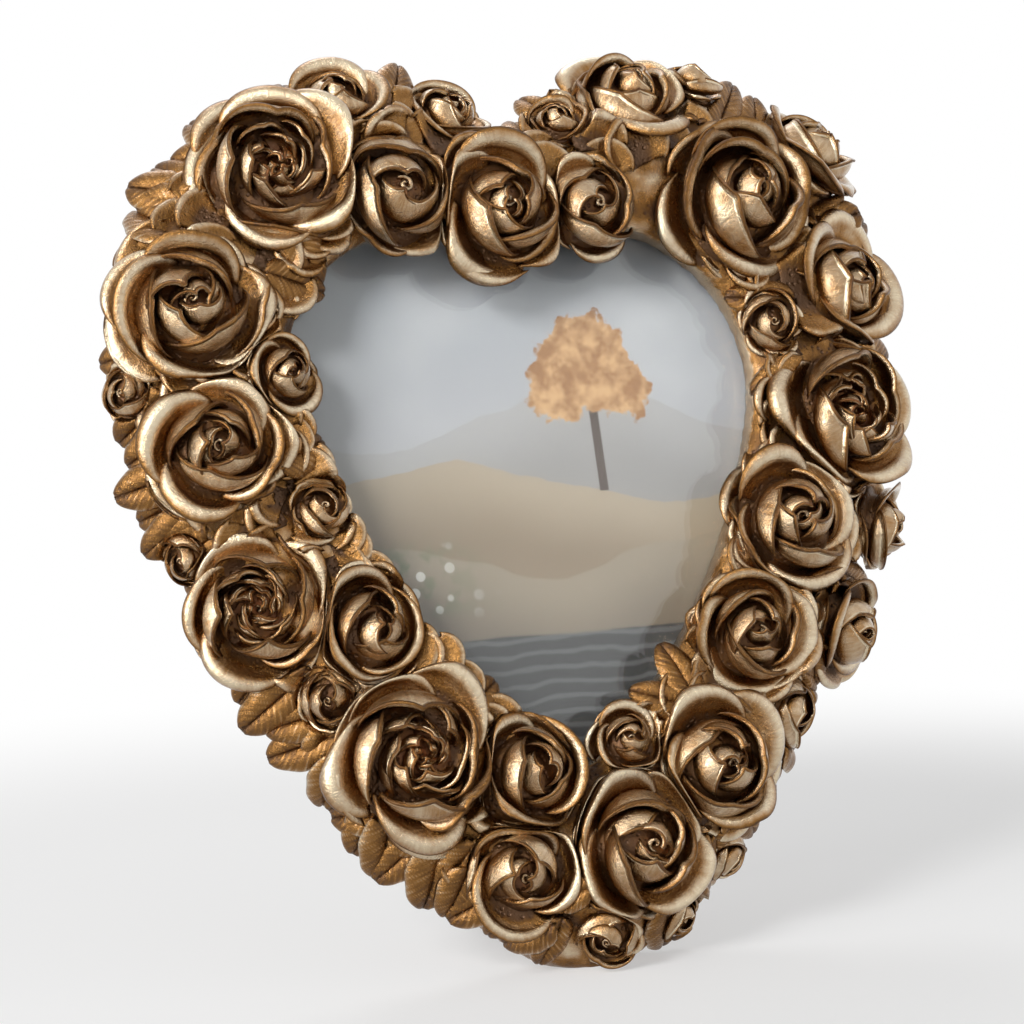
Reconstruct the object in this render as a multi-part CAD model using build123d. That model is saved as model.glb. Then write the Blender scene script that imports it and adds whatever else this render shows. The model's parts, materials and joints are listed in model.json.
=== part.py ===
"""Heart shaped photo frame: a cast rail covered in roses, a glazed picture and an easel back."""
import math
import os
from collections import namedtuple

from build123d import *

# Driving dimensions, in millimetres and degrees

# Heart shaped opening
opening_lobe_radius = 29.0
opening_lobe_spread = 18.0
opening_depth = 73.5
opening_tip_round = 4.0
opening_notch_round = 3.0
opening_blend_angle = 16.0

# Cast rail round the opening
rail_width = 26.5
rail_tip_width = 39.0
rail_thickness = 14.0
rail_tip_round = 20.0
rail_notch_round = 3.0
rail_blend_angle = 4.0
lobe_shift = 10.5
skirt_height = 6.0
flank_width = 9.0
lip_bevel = 2.5

# Rebate behind the opening, and the picture pack in it
rebate_lip = 4.5
pack_clearance = 0.4
glass_thickness = 2.0
print_thickness = 0.4
card_thickness = 1.2
panel_thickness = 3.0
panel_sink = 0.4

# How the frame stands
lean_back = 16.0
leg_opening = 20.0
foot_cut = 2.2

# Easel leg and its hinge
hinge_level = -9.5
leg_top_width = 18.0
leg_foot_width = 16.0
leg_thickness = 2.6
leg_corner_round = 3.0
leg_spare = 12.0
knuckle_radius = 1.7
knuckle_length = 5.0
knuckle_gap = 0.3
pin_radius = 0.9
pin_overhang = 0.6
hinge_sheet = 0.6
hinge_clearance = 0.2
pin_clearance = 0.05
plate_height = 14.0
leaf_length = 18.0
rivet_radius = 1.1
rivet_head_radius = 2.0
rivet_head_height = 0.7
rivet_spacing = 9.0

# Turn buttons that hold the back panel
button_length = 15.0
button_width = 6.5
button_thickness = 1.0
button_reach = 11.0
button_clearance = 0.15
screw_radius = 1.2
screw_head_radius = 2.6
screw_head_height = 1.2
screw_head_round = 0.7
screw_slot_width = 0.8
screw_slot_depth = 0.5
screw_depth = 7.0
screw_clearance = 0.1
button_hole_clearance = 0.2
button_screw_inset = 11.0
button_stations = (0.22, 0.68, -0.68, -0.22)

# Flowers and leaves: a bloom's waist is the height of its middle, in bloom radii
bloom_gap = 0.15
bloom_waist = 0.3
petal_valley = 0.88
leaf_thickness = 1.4
leaf_rise = 1.0
smallest_piece = 2.0

# A bloom stands at a station along the rail, from 0 at the notch to 1 at the tip, minus on the left.
# Its share is its place across the rail: 0 at the opening, 1 at the outer edge.
# It leans outward from the front and is turned about its own axis.
Bloom = namedtuple("Bloom", "name station share radius lean turn form")
blooms = (
    Bloom("rose_01", 0.068, 0.84, 6.5, 38, 20, "rose"),
    Bloom("bud_01", 0.106, 0.12, 10.0, -5, 50, "bud"),
    Bloom("rose_02", 0.133, 0.95, 12.5, 36, 10, "rose"),
    Bloom("bud_02", 0.177, 1.18, 7.0, 50, 0, "bud"),
    Bloom("rose_03", 0.259, 0.49, 16.0, 5, 30, "rose"),
    Bloom("rose_04", 0.279, 1.22, 12.0, 46, 15, "rose"),
    Bloom("rose_05", 0.378, 0.90, 13.5, 22, 60, "rose"),
    Bloom("bud_03", 0.380, 0.17, 6.5, -10, 25, "bud"),
    Bloom("rose_06", 0.487, 0.78, 16.5, 14, 5, "rose"),
    Bloom("rose_07", 0.602, 0.40, 13.5, 0, 45, "rose"),
    Bloom("rose_08", 0.566, 1.18, 9.0, 48, 30, "rose"),
    Bloom("rose_09", 0.728, 0.38, 12.0, 0, 20, "rose"),
    Bloom("rose_10", 0.652, 1.08, 10.5, 44, 0, "rose"),
    Bloom("bud_04", 0.742, 0.86, 7.5, 46, 40, "bud"),
    Bloom("rose_11", 0.843, 0.56, 13.5, 8, 55, "rose"),
    Bloom("bud_05", 0.858, 1.00, 5.5, 52, 15, "bud"),
    Bloom("rose_12", 0.935, 0.05, 7.0, -10, 35, "rose"),
    Bloom("rose_13", 0.958, 0.47, 14.5, 12, 0, "rose"),
    Bloom("bud_06", 0.920, 0.98, 5.5, 52, 10, "bud"),
    Bloom("bud_07", -0.999, 0.74, 6.5, 50, 30, "bud"),
    Bloom("rose_14", -0.912, 0.72, 11.0, 18, 25, "rose"),
    Bloom("rose_15", -0.908, 0.25, 12.0, -5, 50, "rose"),
    Bloom("rose_16", -0.790, 0.62, 16.0, 5, 15, "rose"),
    Bloom("bud_08", -0.705, 0.76, 6.5, 35, 0, "bud"),
    Bloom("rose_17", -0.690, 0.35, 11.0, -8, 40, "rose"),
    Bloom("rose_18", -0.618, 0.83, 13.5, 16, 30, "rose"),
    Bloom("bud_09", -0.562, 1.04, 5.0, 52, 20, "bud"),
    Bloom("bud_10", -0.565, 0.17, 6.0, -10, 45, "bud"),
    Bloom("rose_19", -0.491, 0.68, 12.5, 12, 55, "rose"),
    Bloom("bud_11", -0.440, 1.07, 5.5, 52, 10, "bud"),
    Bloom("rose_20", -0.411, 0.08, 7.5, -12, 35, "rose"),
    Bloom("rose_21", -0.374, 0.68, 14.0, 12, 5, "rose"),
    Bloom("rose_22", -0.228, 0.62, 15.0, 10, 25, "rose"),
    Bloom("rose_23", -0.128, 0.96, 9.5, 30, 45, "rose"),
    Bloom("bud_12", -0.138, 0.24, 12.0, 0, 15, "bud"),
    Bloom("rose_24", -0.035, 1.06, 9.0, 36, 30, "rose"),
    Bloom("rose_25", -0.018, 0.34, 13.5, -5, 10, "rose"),
)

# A ring of petals: how many, its (height, radius) sections and its hollow, all in bloom radii.
# The hollow goes from a floor height and radius up to the rim's inner radius.
Ring = namedtuple("Ring", "petals turn sections hollow")
bloom_forms = {
    "rose": (
        Ring(5, 0, ((-0.90, 0.30), (-0.15, 0.76), (0.14, 1.00), (0.26, 0.95)), (0.12, 0.52, 0.84)),
        Ring(5, 36, ((0.00, 0.45), (0.36, 0.72), (0.48, 0.66)), (0.30, 0.34, 0.56)),
        Ring(3, 20, ((0.15, 0.26), (0.54, 0.40), (0.64, 0.32)), (0.52, 0.14, 0.24)),
    ),
    "bud": (
        Ring(3, 0, ((-1.00, 0.30), (-0.20, 0.76), (0.26, 1.00), (0.42, 0.90)), (0.24, 0.52, 0.78)),
        Ring(3, 60, ((0.10, 0.45), (0.52, 0.68), (0.66, 0.56)), (0.46, 0.30, 0.46)),
        Ring(3, 0, ((0.30, 0.22), (0.70, 0.36), (0.80, 0.26)), (0.66, 0.10, 0.18)),
    ),
}

# A leaf lies with its middle at a station and share, and points at a heading measured from outward.
Leaf = namedtuple("Leaf", "station share heading length width tilt")
leaf_groups = {
    "leaves_top_left": (
        Leaf(-0.075, 1.12, -10, 16, 9, 20),
        Leaf(-0.287, 1.00, 10, 14, 10, 30),
    ),
    "leaves_top_right": (
        Leaf(0.210, 1.14, -10, 17, 9, 20),
        Leaf(0.237, 1.14, 15, 17, 9, 20),
        Leaf(0.343, 1.14, 5, 17, 10, 20),
    ),
    "leaves_right": (
        Leaf(0.436, 1.12, 0, 15, 9, 30),
        Leaf(0.540, 1.05, 25, 13, 8, 35),
        Leaf(0.615, 1.08, 10, 14, 8, 35),
        Leaf(0.800, 0.98, 15, 12, 8, 40),
    ),
    "leaves_left": (
        Leaf(-0.435, 0.98, 40, 11, 7, 40),
        Leaf(-0.506, 1.08, 0, 14, 9, 30),
        Leaf(-0.540, 1.05, 20, 14, 8, 35),
        Leaf(-0.678, 1.02, 10, 14, 9, 35),
        Leaf(-0.716, 1.00, -20, 14, 9, 35),
    ),
    "leaves_lower_left": (
        Leaf(-0.787, 1.00, 25, 14, 10, 35),
        Leaf(-0.820, 1.00, 0, 14, 9, 35),
        Leaf(-0.860, 0.88, 10, 13, 8, 40),
        Leaf(-0.950, 0.90, 20, 11, 7, 40),
    ),
    "leaves_inner_left": (
        Leaf(-0.270, 0.18, 160, 14, 9, 12),
        Leaf(-0.306, 0.12, 200, 13, 8, 12),
        Leaf(-0.503, 0.13, 190, 12, 8, 12),
        Leaf(-0.830, 0.10, 170, 12, 8, 12),
    ),
    "leaves_inner_right": (
        Leaf(0.350, 0.16, 150, 13, 8, 12),
        Leaf(0.445, 0.16, 210, 12, 8, 12),
        Leaf(0.830, 0.06, 150, 13, 8, 12),
        Leaf(0.868, 0.06, 200, 12, 7, 12),
    ),
}


class HeartLine:
    """One heart outline of the frame: share 0 is the opening, share 1 the rail's outer edge."""

    def __init__(self, share, grow=0.0):
        blend = opening_blend_angle + share * (rail_blend_angle - opening_blend_angle)
        self.blend = math.radians(blend)
        self.spread = opening_lobe_spread + share * lobe_shift
        self.level = share * lobe_shift
        lobe = opening_lobe_radius + share * (rail_width - lobe_shift)
        drop = self.level + opening_depth + share * rail_tip_width
        across = self.spread * math.cos(self.blend) - drop * math.sin(self.blend)
        swing = (self.spread**2 + drop**2 - lobe**2) / (2 * (lobe + across))
        self.side_x = self.spread - swing * math.cos(self.blend)
        self.side_y = self.level + swing * math.sin(self.blend)
        self.lobe_radius = lobe + grow
        self.side_radius = lobe + swing + grow
        self.notch_angle = math.acos(-self.spread / self.lobe_radius)
        self.tip_angle = -math.acos(-self.side_x / self.side_radius)
        self.lobe_length = self.lobe_radius * (self.notch_angle + self.blend)
        self.side_length = self.side_radius * (-self.blend - self.tip_angle)
        self.blend_station = self.lobe_length / (self.lobe_length + self.side_length)

    def place(self, station):
        """Point at a station, and the outward direction there."""
        side = -1 if station < 0 else 1
        run = abs(station) * (self.lobe_length + self.side_length)
        if run <= self.lobe_length:
            angle = self.notch_angle - run / self.lobe_radius
            point = (self.spread, self.level, self.lobe_radius)
        else:
            angle = -self.blend - (run - self.lobe_length) / self.side_radius
            point = (self.side_x, self.side_y, self.side_radius)
        outward = Vector(side * math.cos(angle), math.sin(angle))
        return Vector(side * point[0], point[1]) + outward * point[2], outward

    def face(self, tip_round, notch_round):
        """The outline as a face, with its tip and notch rounded."""
        blend = self.blend_station
        stops = (0, blend / 2, blend, (1 + blend) / 2, 1)
        right = [self.place(station)[0] for station in stops]
        left = [Vector(-point.X, point.Y) for point in right]
        runs = (right[0:3], right[2:5], left[2:5], left[0:3])
        outline = make_face([ThreePointArc(*run) for run in runs]).face()
        tip = outline.vertices().sort_by(Axis.Y)[0]
        outline = outline.fillet_2d(tip_round, [tip])
        notch = outline.vertices().sort_by(lambda corner: abs(corner.X))[0]
        return outline.fillet_2d(notch_round, [notch])


def opening_face(grow=0.0):
    """The opening's outline, grown outward by a distance."""
    return HeartLine(0, grow).face(opening_tip_round + grow, max(opening_notch_round - grow, 0.4))


def rail_face(grow=0.0):
    """The rail's outer outline, grown outward by a distance."""
    return HeartLine(1, grow).face(rail_tip_round + grow, rail_notch_round - grow)


def slab(face, low, high):
    """A flat plate of an outline between two heights."""
    return Pos(0, 0, low) * extrude(face, high - low, dir=(0, 0, 1))


def rod(radius, low, high):
    """A round bar along the front direction."""
    return Pos(0, 0, low) * Cylinder(radius, high - low, align=(Align.CENTER, Align.CENTER, Align.MIN))


# Heights in the thickness of the frame, from the back of the rail at 0 to the front
panel_back = panel_sink
panel_front = panel_back + panel_thickness
card_front = panel_front + card_thickness
print_front = card_front + print_thickness
rebate_depth = print_front + glass_thickness
plate_back = panel_back - hinge_sheet
axis_height = plate_back - hinge_clearance - knuckle_radius
leaf_back = axis_height - knuckle_radius
leg_back = leaf_back + hinge_sheet
leg_front = leg_back + leg_thickness

# The frame stands on a flat cut under its tip, and the origin is at the middle of the flat
foot_level = rail_face().bounding_box().min.Y + foot_cut
lean = math.radians(lean_back)
foot_depth = skirt_height / math.cos(lean)
foot_back = Vector(0, foot_depth / 2 - foot_level * math.sin(lean), -foot_level * math.cos(lean))
stand = Location(foot_back, (90 - lean_back, 0, 0))
leg_angle = math.radians(leg_opening - lean_back)
leg_length = (stand * Pos(0, hinge_level, axis_height)).position.Z / math.cos(leg_angle)
ground_size = 400.0
ground = stand.inverse() * Pos(0, 0, -ground_size / 2) * Box(ground_size, ground_size, ground_size)
behind = slab(Rectangle(ground_size, ground_size).face(), -ground_size, 0)


def button_places():
    """Each turn button's screw on the back of the rail, turned so that the button points inward."""
    for station in button_stations:
        point, outward = HeartLine(button_screw_inset / rail_width).place(station)
        heading = math.degrees(math.atan2(outward.Y, outward.X))
        yield Location((point.X, point.Y, 0), (0, 0, heading))


def make_rail_blank():
    """The rail before its opening is cut: a skirt, a sloping flank and a beveled dish."""
    skirt = slab(rail_face(), 0, skirt_height)
    brow = Pos(0, 0, rail_thickness) * rail_face(-flank_width)
    blank = skirt + loft([Pos(0, 0, skirt_height) * rail_face(), brow], ruled=True)
    dish_floor = Pos(0, 0, rail_thickness - lip_bevel) * opening_face()
    return blank - loft([dish_floor, Pos(0, 0, rail_thickness) * opening_face(lip_bevel)], ruled=True)


def make_rail(blank):
    """The cast rail: the blank with its opening, rebate, screw holes and foot cut."""
    rail = blank - slab(opening_face(), 0, rail_thickness)
    rail -= slab(opening_face(rebate_lip), 0, rebate_depth)
    for place in button_places():
        rail -= place * rod(screw_radius + screw_clearance, 0, screw_depth + screw_clearance)
    return rail - ground


def make_pack():
    """Glass, print, card and back panel, one behind the other in the rebate."""
    outline = opening_face(rebate_lip - pack_clearance)
    panel = slab(outline, panel_back, panel_front)
    for rivet in plate_rivet_places():
        panel -= rivet * rod(rivet_radius, panel_back, panel_front)
    return {
        "glass_pane": slab(outline, print_front, rebate_depth),
        "photo_print": slab(outline, card_front, print_front),
        "backing_card": slab(outline, panel_front, card_front),
        "back_panel": panel,
    }


def plate_rivet_places():
    """The hinge plate's two rivets, above the hinge."""
    level = hinge_level + knuckle_radius + plate_height / 2
    return [Pos(side * rivet_spacing / 2, level, 0) for side in (-1, 1)]


def leaf_rivet_places():
    """The hinge leaf's two rivets, below the hinge with the leg shut."""
    level = hinge_level - knuckle_radius - leaf_length / 2
    return [Pos(side * rivet_spacing / 2, level, 0) for side in (-1, 1)]


def knuckle(middle, length):
    """One barrel of the hinge, bored for the pin."""
    barrel = Cylinder(knuckle_radius, length) - Cylinder(pin_radius + pin_clearance, length)
    return Pos(middle, hinge_level, axis_height) * Rot(0, 90, 0) * barrel


def sheet_strip(low, high, width, back, front):
    """A flat strip of hinge metal between two levels."""
    return Pos(0, (low + high) / 2, (back + front) / 2) * Box(width, high - low, front - back)


def pin_space(length):
    """The room that the pin takes in a knuckle's strip."""
    return Pos(0, hinge_level, axis_height) * Rot(0, 90, 0) * Cylinder(pin_radius + pin_clearance, length)


hinge_width = 3 * knuckle_length + 2 * knuckle_gap
knuckle_pitch = knuckle_length + knuckle_gap


def make_hinge_plate():
    """The hinge half on the panel: a plate with a barrel at each end."""
    top = hinge_level + knuckle_radius + plate_height
    plate = sheet_strip(hinge_level, top, hinge_width, plate_back, panel_back)
    for side in (-1, 1):
        plate += knuckle(side * knuckle_pitch, knuckle_length)
        web_height = plate_back - axis_height
        web = Box(knuckle_length, knuckle_radius, web_height)
        web = Pos(side * knuckle_pitch, hinge_level + knuckle_radius / 2, axis_height + web_height / 2) * web
        plate += web - pin_space(hinge_width)
    for rivet in plate_rivet_places():
        plate -= rivet * rod(rivet_radius, plate_back, panel_back)
    return plate


def make_hinge_leaf():
    """The hinge half on the leg: a leaf with the middle barrel."""
    low = hinge_level - knuckle_radius - leaf_length
    neck = sheet_strip(low, hinge_level, knuckle_length, leaf_back, leg_back) - pin_space(hinge_width)
    wide = sheet_strip(low, hinge_level - knuckle_radius - hinge_sheet, hinge_width, leaf_back, leg_back)
    leaf = wide + neck + knuckle(0, knuckle_length)
    for rivet in leaf_rivet_places():
        leaf -= rivet * rod(rivet_radius, leaf_back, leg_back)
    return leaf


def make_leg():
    """The easel leg, shut against the back: a tapered board with rounded corners."""
    top = hinge_level - knuckle_radius - hinge_sheet
    bottom = hinge_level - leg_length - leg_spare
    slope = (leg_foot_width - leg_top_width) / 2 / leg_length
    low_half = leg_foot_width / 2 + slope * leg_spare
    corners = [
        (leg_top_width / 2, top),
        (low_half, bottom),
        (-low_half, bottom),
        (-leg_top_width / 2, top),
    ]
    outline = make_face(Polyline(*corners, close=True)).face()
    upper = outline.vertices().sort_by(Axis.Y)[-2:]
    outline = outline.fillet_2d(leg_corner_round, upper)
    board = slab(outline, leg_back, leg_front)
    for rivet in leaf_rivet_places():
        board -= rivet * rod(rivet_radius, leg_back, leg_front)
    return board


def rivet_solid(head_back, shank_front):
    """A domed rivet: its head on the back and its shank through the pieces."""
    dome = loft([
        Pos(0, 0, head_back) * Circle(rivet_head_radius).face(),
        Pos(0, 0, head_back - rivet_head_height) * Circle(rivet_head_radius / 2).face(),
    ])
    return dome + rod(rivet_radius, head_back, shank_front)


def make_button():
    """One turn button about its screw, pointing inward along minus X."""
    tail = button_length - button_reach
    middle = Pos(-(button_reach - tail) / 2, 0, 0)
    plan = middle * SlotOverall(button_length, button_width)
    hole = Circle(screw_radius + button_hole_clearance)
    back = -button_clearance - button_thickness
    return slab((plan - hole).face(), back, -button_clearance)


def make_button_screw():
    """A domed screw that holds one turn button."""
    seat = -2 * button_clearance - button_thickness
    head = rod(screw_head_radius, seat - screw_head_height, seat)
    head = fillet(head.edges().sort_by(Axis.Z)[:1], screw_head_round)
    slot = Box(3 * screw_head_radius, screw_slot_width, 2 * screw_slot_depth)
    head -= Pos(0, 0, seat - screw_head_height) * slot
    return head + rod(screw_radius, seat, screw_depth)


def petal_ring(petals, turn, radius):
    """Outline of one ring of petals: an arc for each petal."""
    step = 360 / petals
    arcs = []
    for index in range(petals):
        start = turn + index * step
        valley = radius * petal_valley
        points = ((valley, start), (radius, start + step / 2), (valley, start + step))
        corners = [
            (reach * math.cos(math.radians(angle)), reach * math.sin(math.radians(angle)))
            for reach, angle in points
        ]
        arcs.append(ThreePointArc(*corners))
    return make_face(arcs).face()


def bloom_pattern(form, radius):
    """A bloom of one form at its origin, facing +Z: rings of petals, each hollow inside its rim."""
    flower = None
    for ring in bloom_forms[form]:
        sections = [
            Pos(0, 0, height * radius) * petal_ring(ring.petals, ring.turn, reach * radius)
            for height, reach in ring.sections
        ]
        petals = loft(sections, ruled=True)
        floor, floor_reach, rim_reach = ring.hollow
        rim = ring.sections[-1][0]
        petals -= loft([
            Pos(0, 0, floor * radius) * petal_ring(ring.petals, ring.turn, floor_reach * radius),
            Pos(0, 0, rim * radius) * petal_ring(ring.petals, ring.turn, rim_reach * radius),
        ], ruled=True)
        flower = petals if flower is None else flower + petals
    return flower


def seat_height(share):
    """Height of the rail's front under a share of its width."""
    slope = (1 - share) * rail_width / flank_width
    return skirt_height + (rail_thickness - skirt_height) * min(max(slope, 0), 1)


def bloom_frame(bloom):
    """Where a bloom stands, as a plane whose Z is the bloom's axis."""
    point, outward = HeartLine(bloom.share).place(bloom.station)
    tilt = math.radians(bloom.lean)
    axis = outward * math.sin(tilt) + Vector(0, 0, math.cos(tilt))
    along = Vector(-outward.Y, outward.X, 0)
    return Plane(origin=(point.X, point.Y, seat_height(bloom.share)), x_dir=along, z_dir=axis)


def largest(shape):
    """The largest solid of a shape."""
    return shape.solids().sort_by(SortBy.VOLUME)[-1]


def make_blooms(blank):
    """All blooms, cut back where they meet and seated on the rail."""
    pattern_radius = 10.0
    patterns = {form: bloom_pattern(form, pattern_radius) for form in bloom_forms}
    middles = {}
    for bloom in blooms:
        place = bloom_frame(bloom)
        middles[bloom.name] = place.origin + place.z_dir * bloom.radius * bloom_waist
    solids = {}
    for bloom in blooms:
        flower = scale(patterns[bloom.form], bloom.radius / pattern_radius)
        flower = bloom_frame(bloom).location * Rot(0, 0, bloom.turn) * flower
        middle = middles[bloom.name]
        for other in blooms:
            apart = middles[other.name] - middle
            reach = bloom.radius + other.radius
            if other is bloom or apart.length > reach:
                continue
            share = (apart.length**2 + bloom.radius**2 - other.radius**2) / (2 * apart.length)
            cut = middle + apart.normalized() * (share - bloom_gap / 2)
            flower = split(flower, bisect_by=Plane(origin=cut, z_dir=apart), keep=Keep.BOTTOM)
        flower = largest(flower - blank)
        if flower.bounding_box().min.Z < 0:
            flower = largest(flower - behind)
        solids[bloom.name] = flower
    return solids


def make_leaf(leaf):
    """One leaf: a pointed oval with a raised fold along its middle."""
    half = leaf.length / 2
    point, outward = HeartLine(leaf.share).place(leaf.station)
    heading = math.degrees(math.atan2(outward.Y, outward.X)) + leaf.heading
    edge = ThreePointArc((-half, 0), (0, leaf.width / 2), (half, 0))
    other_edge = ThreePointArc((half, 0), (0, -leaf.width / 2), (-half, 0))
    blade = slab(make_face([edge, other_edge]).face(), 0, leaf_thickness + leaf_rise)
    fall = math.degrees(math.atan2(leaf_rise, leaf.width / 2))
    for side in (-1, 1):
        trim = Box(2 * leaf.length, leaf.width, leaf.width, align=(Align.CENTER, Align.MIN, Align.MIN))
        ridge = Pos(0, 0, leaf_thickness + leaf_rise) * Rot(0, 0, 90 - 90 * side)
        blade -= ridge * Rot(-fall, 0, 0) * trim
    seat = seat_height(leaf.share) - leaf_thickness / 2
    return Location((point.X, point.Y, seat)) * Rot(0, 0, heading) * Rot(0, leaf.tilt, 0) * blade


def make_leaves(blank, flowers):
    """Each group of leaves, cut where the rail and the flowers cover them."""
    boxes = {name: flower.bounding_box() for name, flower in flowers.items()}
    groups = {}
    for name, leaves in leaf_groups.items():
        kept = []
        for leaf in leaves:
            blade = make_leaf(leaf) - blank
            box = blade.bounding_box()
            if box.min.Z < 0:
                blade -= behind
            covers = [flower for key, flower in flowers.items() if box.overlaps(boxes[key])]
            for cover in covers + kept:
                blade -= cover
            kept += [piece for piece in blade.solids() if piece.volume > smallest_piece]
        groups[name] = Compound(children=kept)
    return groups


def make_parts():
    """Every piece of the frame by its name, in the standing frame."""
    blank = make_rail_blank()
    pieces = {"frame_rail": make_rail(blank), **make_pack()}
    pieces["hinge_plate"] = make_hinge_plate()
    pin_length = hinge_width + 2 * pin_overhang
    pin = Cylinder(pin_radius, pin_length)
    pieces["hinge_pin"] = Pos(0, hinge_level, axis_height) * Rot(0, 90, 0) * pin
    plate_rivet = rivet_solid(plate_back, panel_front)
    pieces["plate_rivets"] = Compound(children=[place * plate_rivet for place in plate_rivet_places()])
    hinge_axis = Axis((0, hinge_level, axis_height), (1, 0, 0))
    leaf_rivet = rivet_solid(leaf_back, leg_front)
    leaf_rivets = Compound(children=[place * leaf_rivet for place in leaf_rivet_places()])
    swung = {"easel_leg": make_leg(), "hinge_leaf": make_hinge_leaf(), "leaf_rivets": leaf_rivets}
    for name, piece in swung.items():
        pieces[name] = piece.rotate(hinge_axis, leg_opening)
    pieces["easel_leg"] -= ground
    button = make_button()
    screw = make_button_screw()
    places = list(button_places())
    for number, place in enumerate(places, 1):
        pieces[f"turn_button_{number}"] = place * button
    pieces["button_screws"] = Compound(children=[place * screw for place in places])
    flowers = make_blooms(blank)
    pieces.update(flowers)
    pieces.update(make_leaves(blank, flowers))
    return {name: stand * piece for name, piece in pieces.items()}


def main():
    """Write one STEP file for each piece."""
    os.makedirs("parts", exist_ok=True)
    for name, piece in make_parts().items():
        export_step(piece, f"parts/{name}.step")
    hinge = stand * Pos(0, hinge_level, axis_height)
    print("hinge at", hinge.position)
    for number, place in enumerate(button_places(), 1):
        print("turn button", number, "at", (stand * place).position)


main()
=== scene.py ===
"""Heart shaped photo frame: cast roses in antique gold round a glazed picture, on a velvet easel back."""
import json
import math
from collections import namedtuple

import bpy
import numpy as np
from mathutils import Matrix, Vector, noise


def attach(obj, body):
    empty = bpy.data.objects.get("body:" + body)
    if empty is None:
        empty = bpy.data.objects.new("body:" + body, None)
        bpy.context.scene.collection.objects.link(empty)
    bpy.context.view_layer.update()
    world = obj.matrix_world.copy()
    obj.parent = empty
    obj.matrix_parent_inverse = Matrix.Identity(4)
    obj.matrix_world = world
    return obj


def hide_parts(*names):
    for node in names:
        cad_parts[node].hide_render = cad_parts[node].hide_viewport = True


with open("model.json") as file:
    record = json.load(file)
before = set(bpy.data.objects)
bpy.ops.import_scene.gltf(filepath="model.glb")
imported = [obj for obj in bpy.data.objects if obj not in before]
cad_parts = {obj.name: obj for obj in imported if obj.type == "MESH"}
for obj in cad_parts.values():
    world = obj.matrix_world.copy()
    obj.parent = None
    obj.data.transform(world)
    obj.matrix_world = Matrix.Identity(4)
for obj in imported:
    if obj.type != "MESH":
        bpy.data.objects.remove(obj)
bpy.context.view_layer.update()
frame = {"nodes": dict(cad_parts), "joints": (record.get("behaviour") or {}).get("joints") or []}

bl_info = {
    "name": "Heart Rose Photo Frame",
    "version": (1, 0, 0),
    "blender": (4, 5, 0),
    "location": "View3D > Sidebar > Rose Frame",
    "description": "Dresses a heart shaped photo frame in cast roses, patina, glass and velvet",
    "category": "Object",
}

# Millimetres to Blender's metres
MM = 0.001

# Heart outlines of the opening and the rail, in millimetres and degrees
opening_lobe_radius = 29.0
opening_lobe_spread = 18.0
opening_depth = 73.5
opening_blend_angle = 16.0
rail_width = 26.5
rail_tip_width = 39.0
rail_thickness = 14.0
rail_blend_angle = 4.0
lobe_shift = 10.5
skirt_height = 6.0
flank_width = 9.0
lip_bevel = 2.5
glass_front = 7.0
pane_gap = 0.08

# How the frame leans, and where its hinge lies in the frame's own plane
lean_back = math.radians(16.0)
hinge_level = -9.5
hinge_height = -2.1

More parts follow.
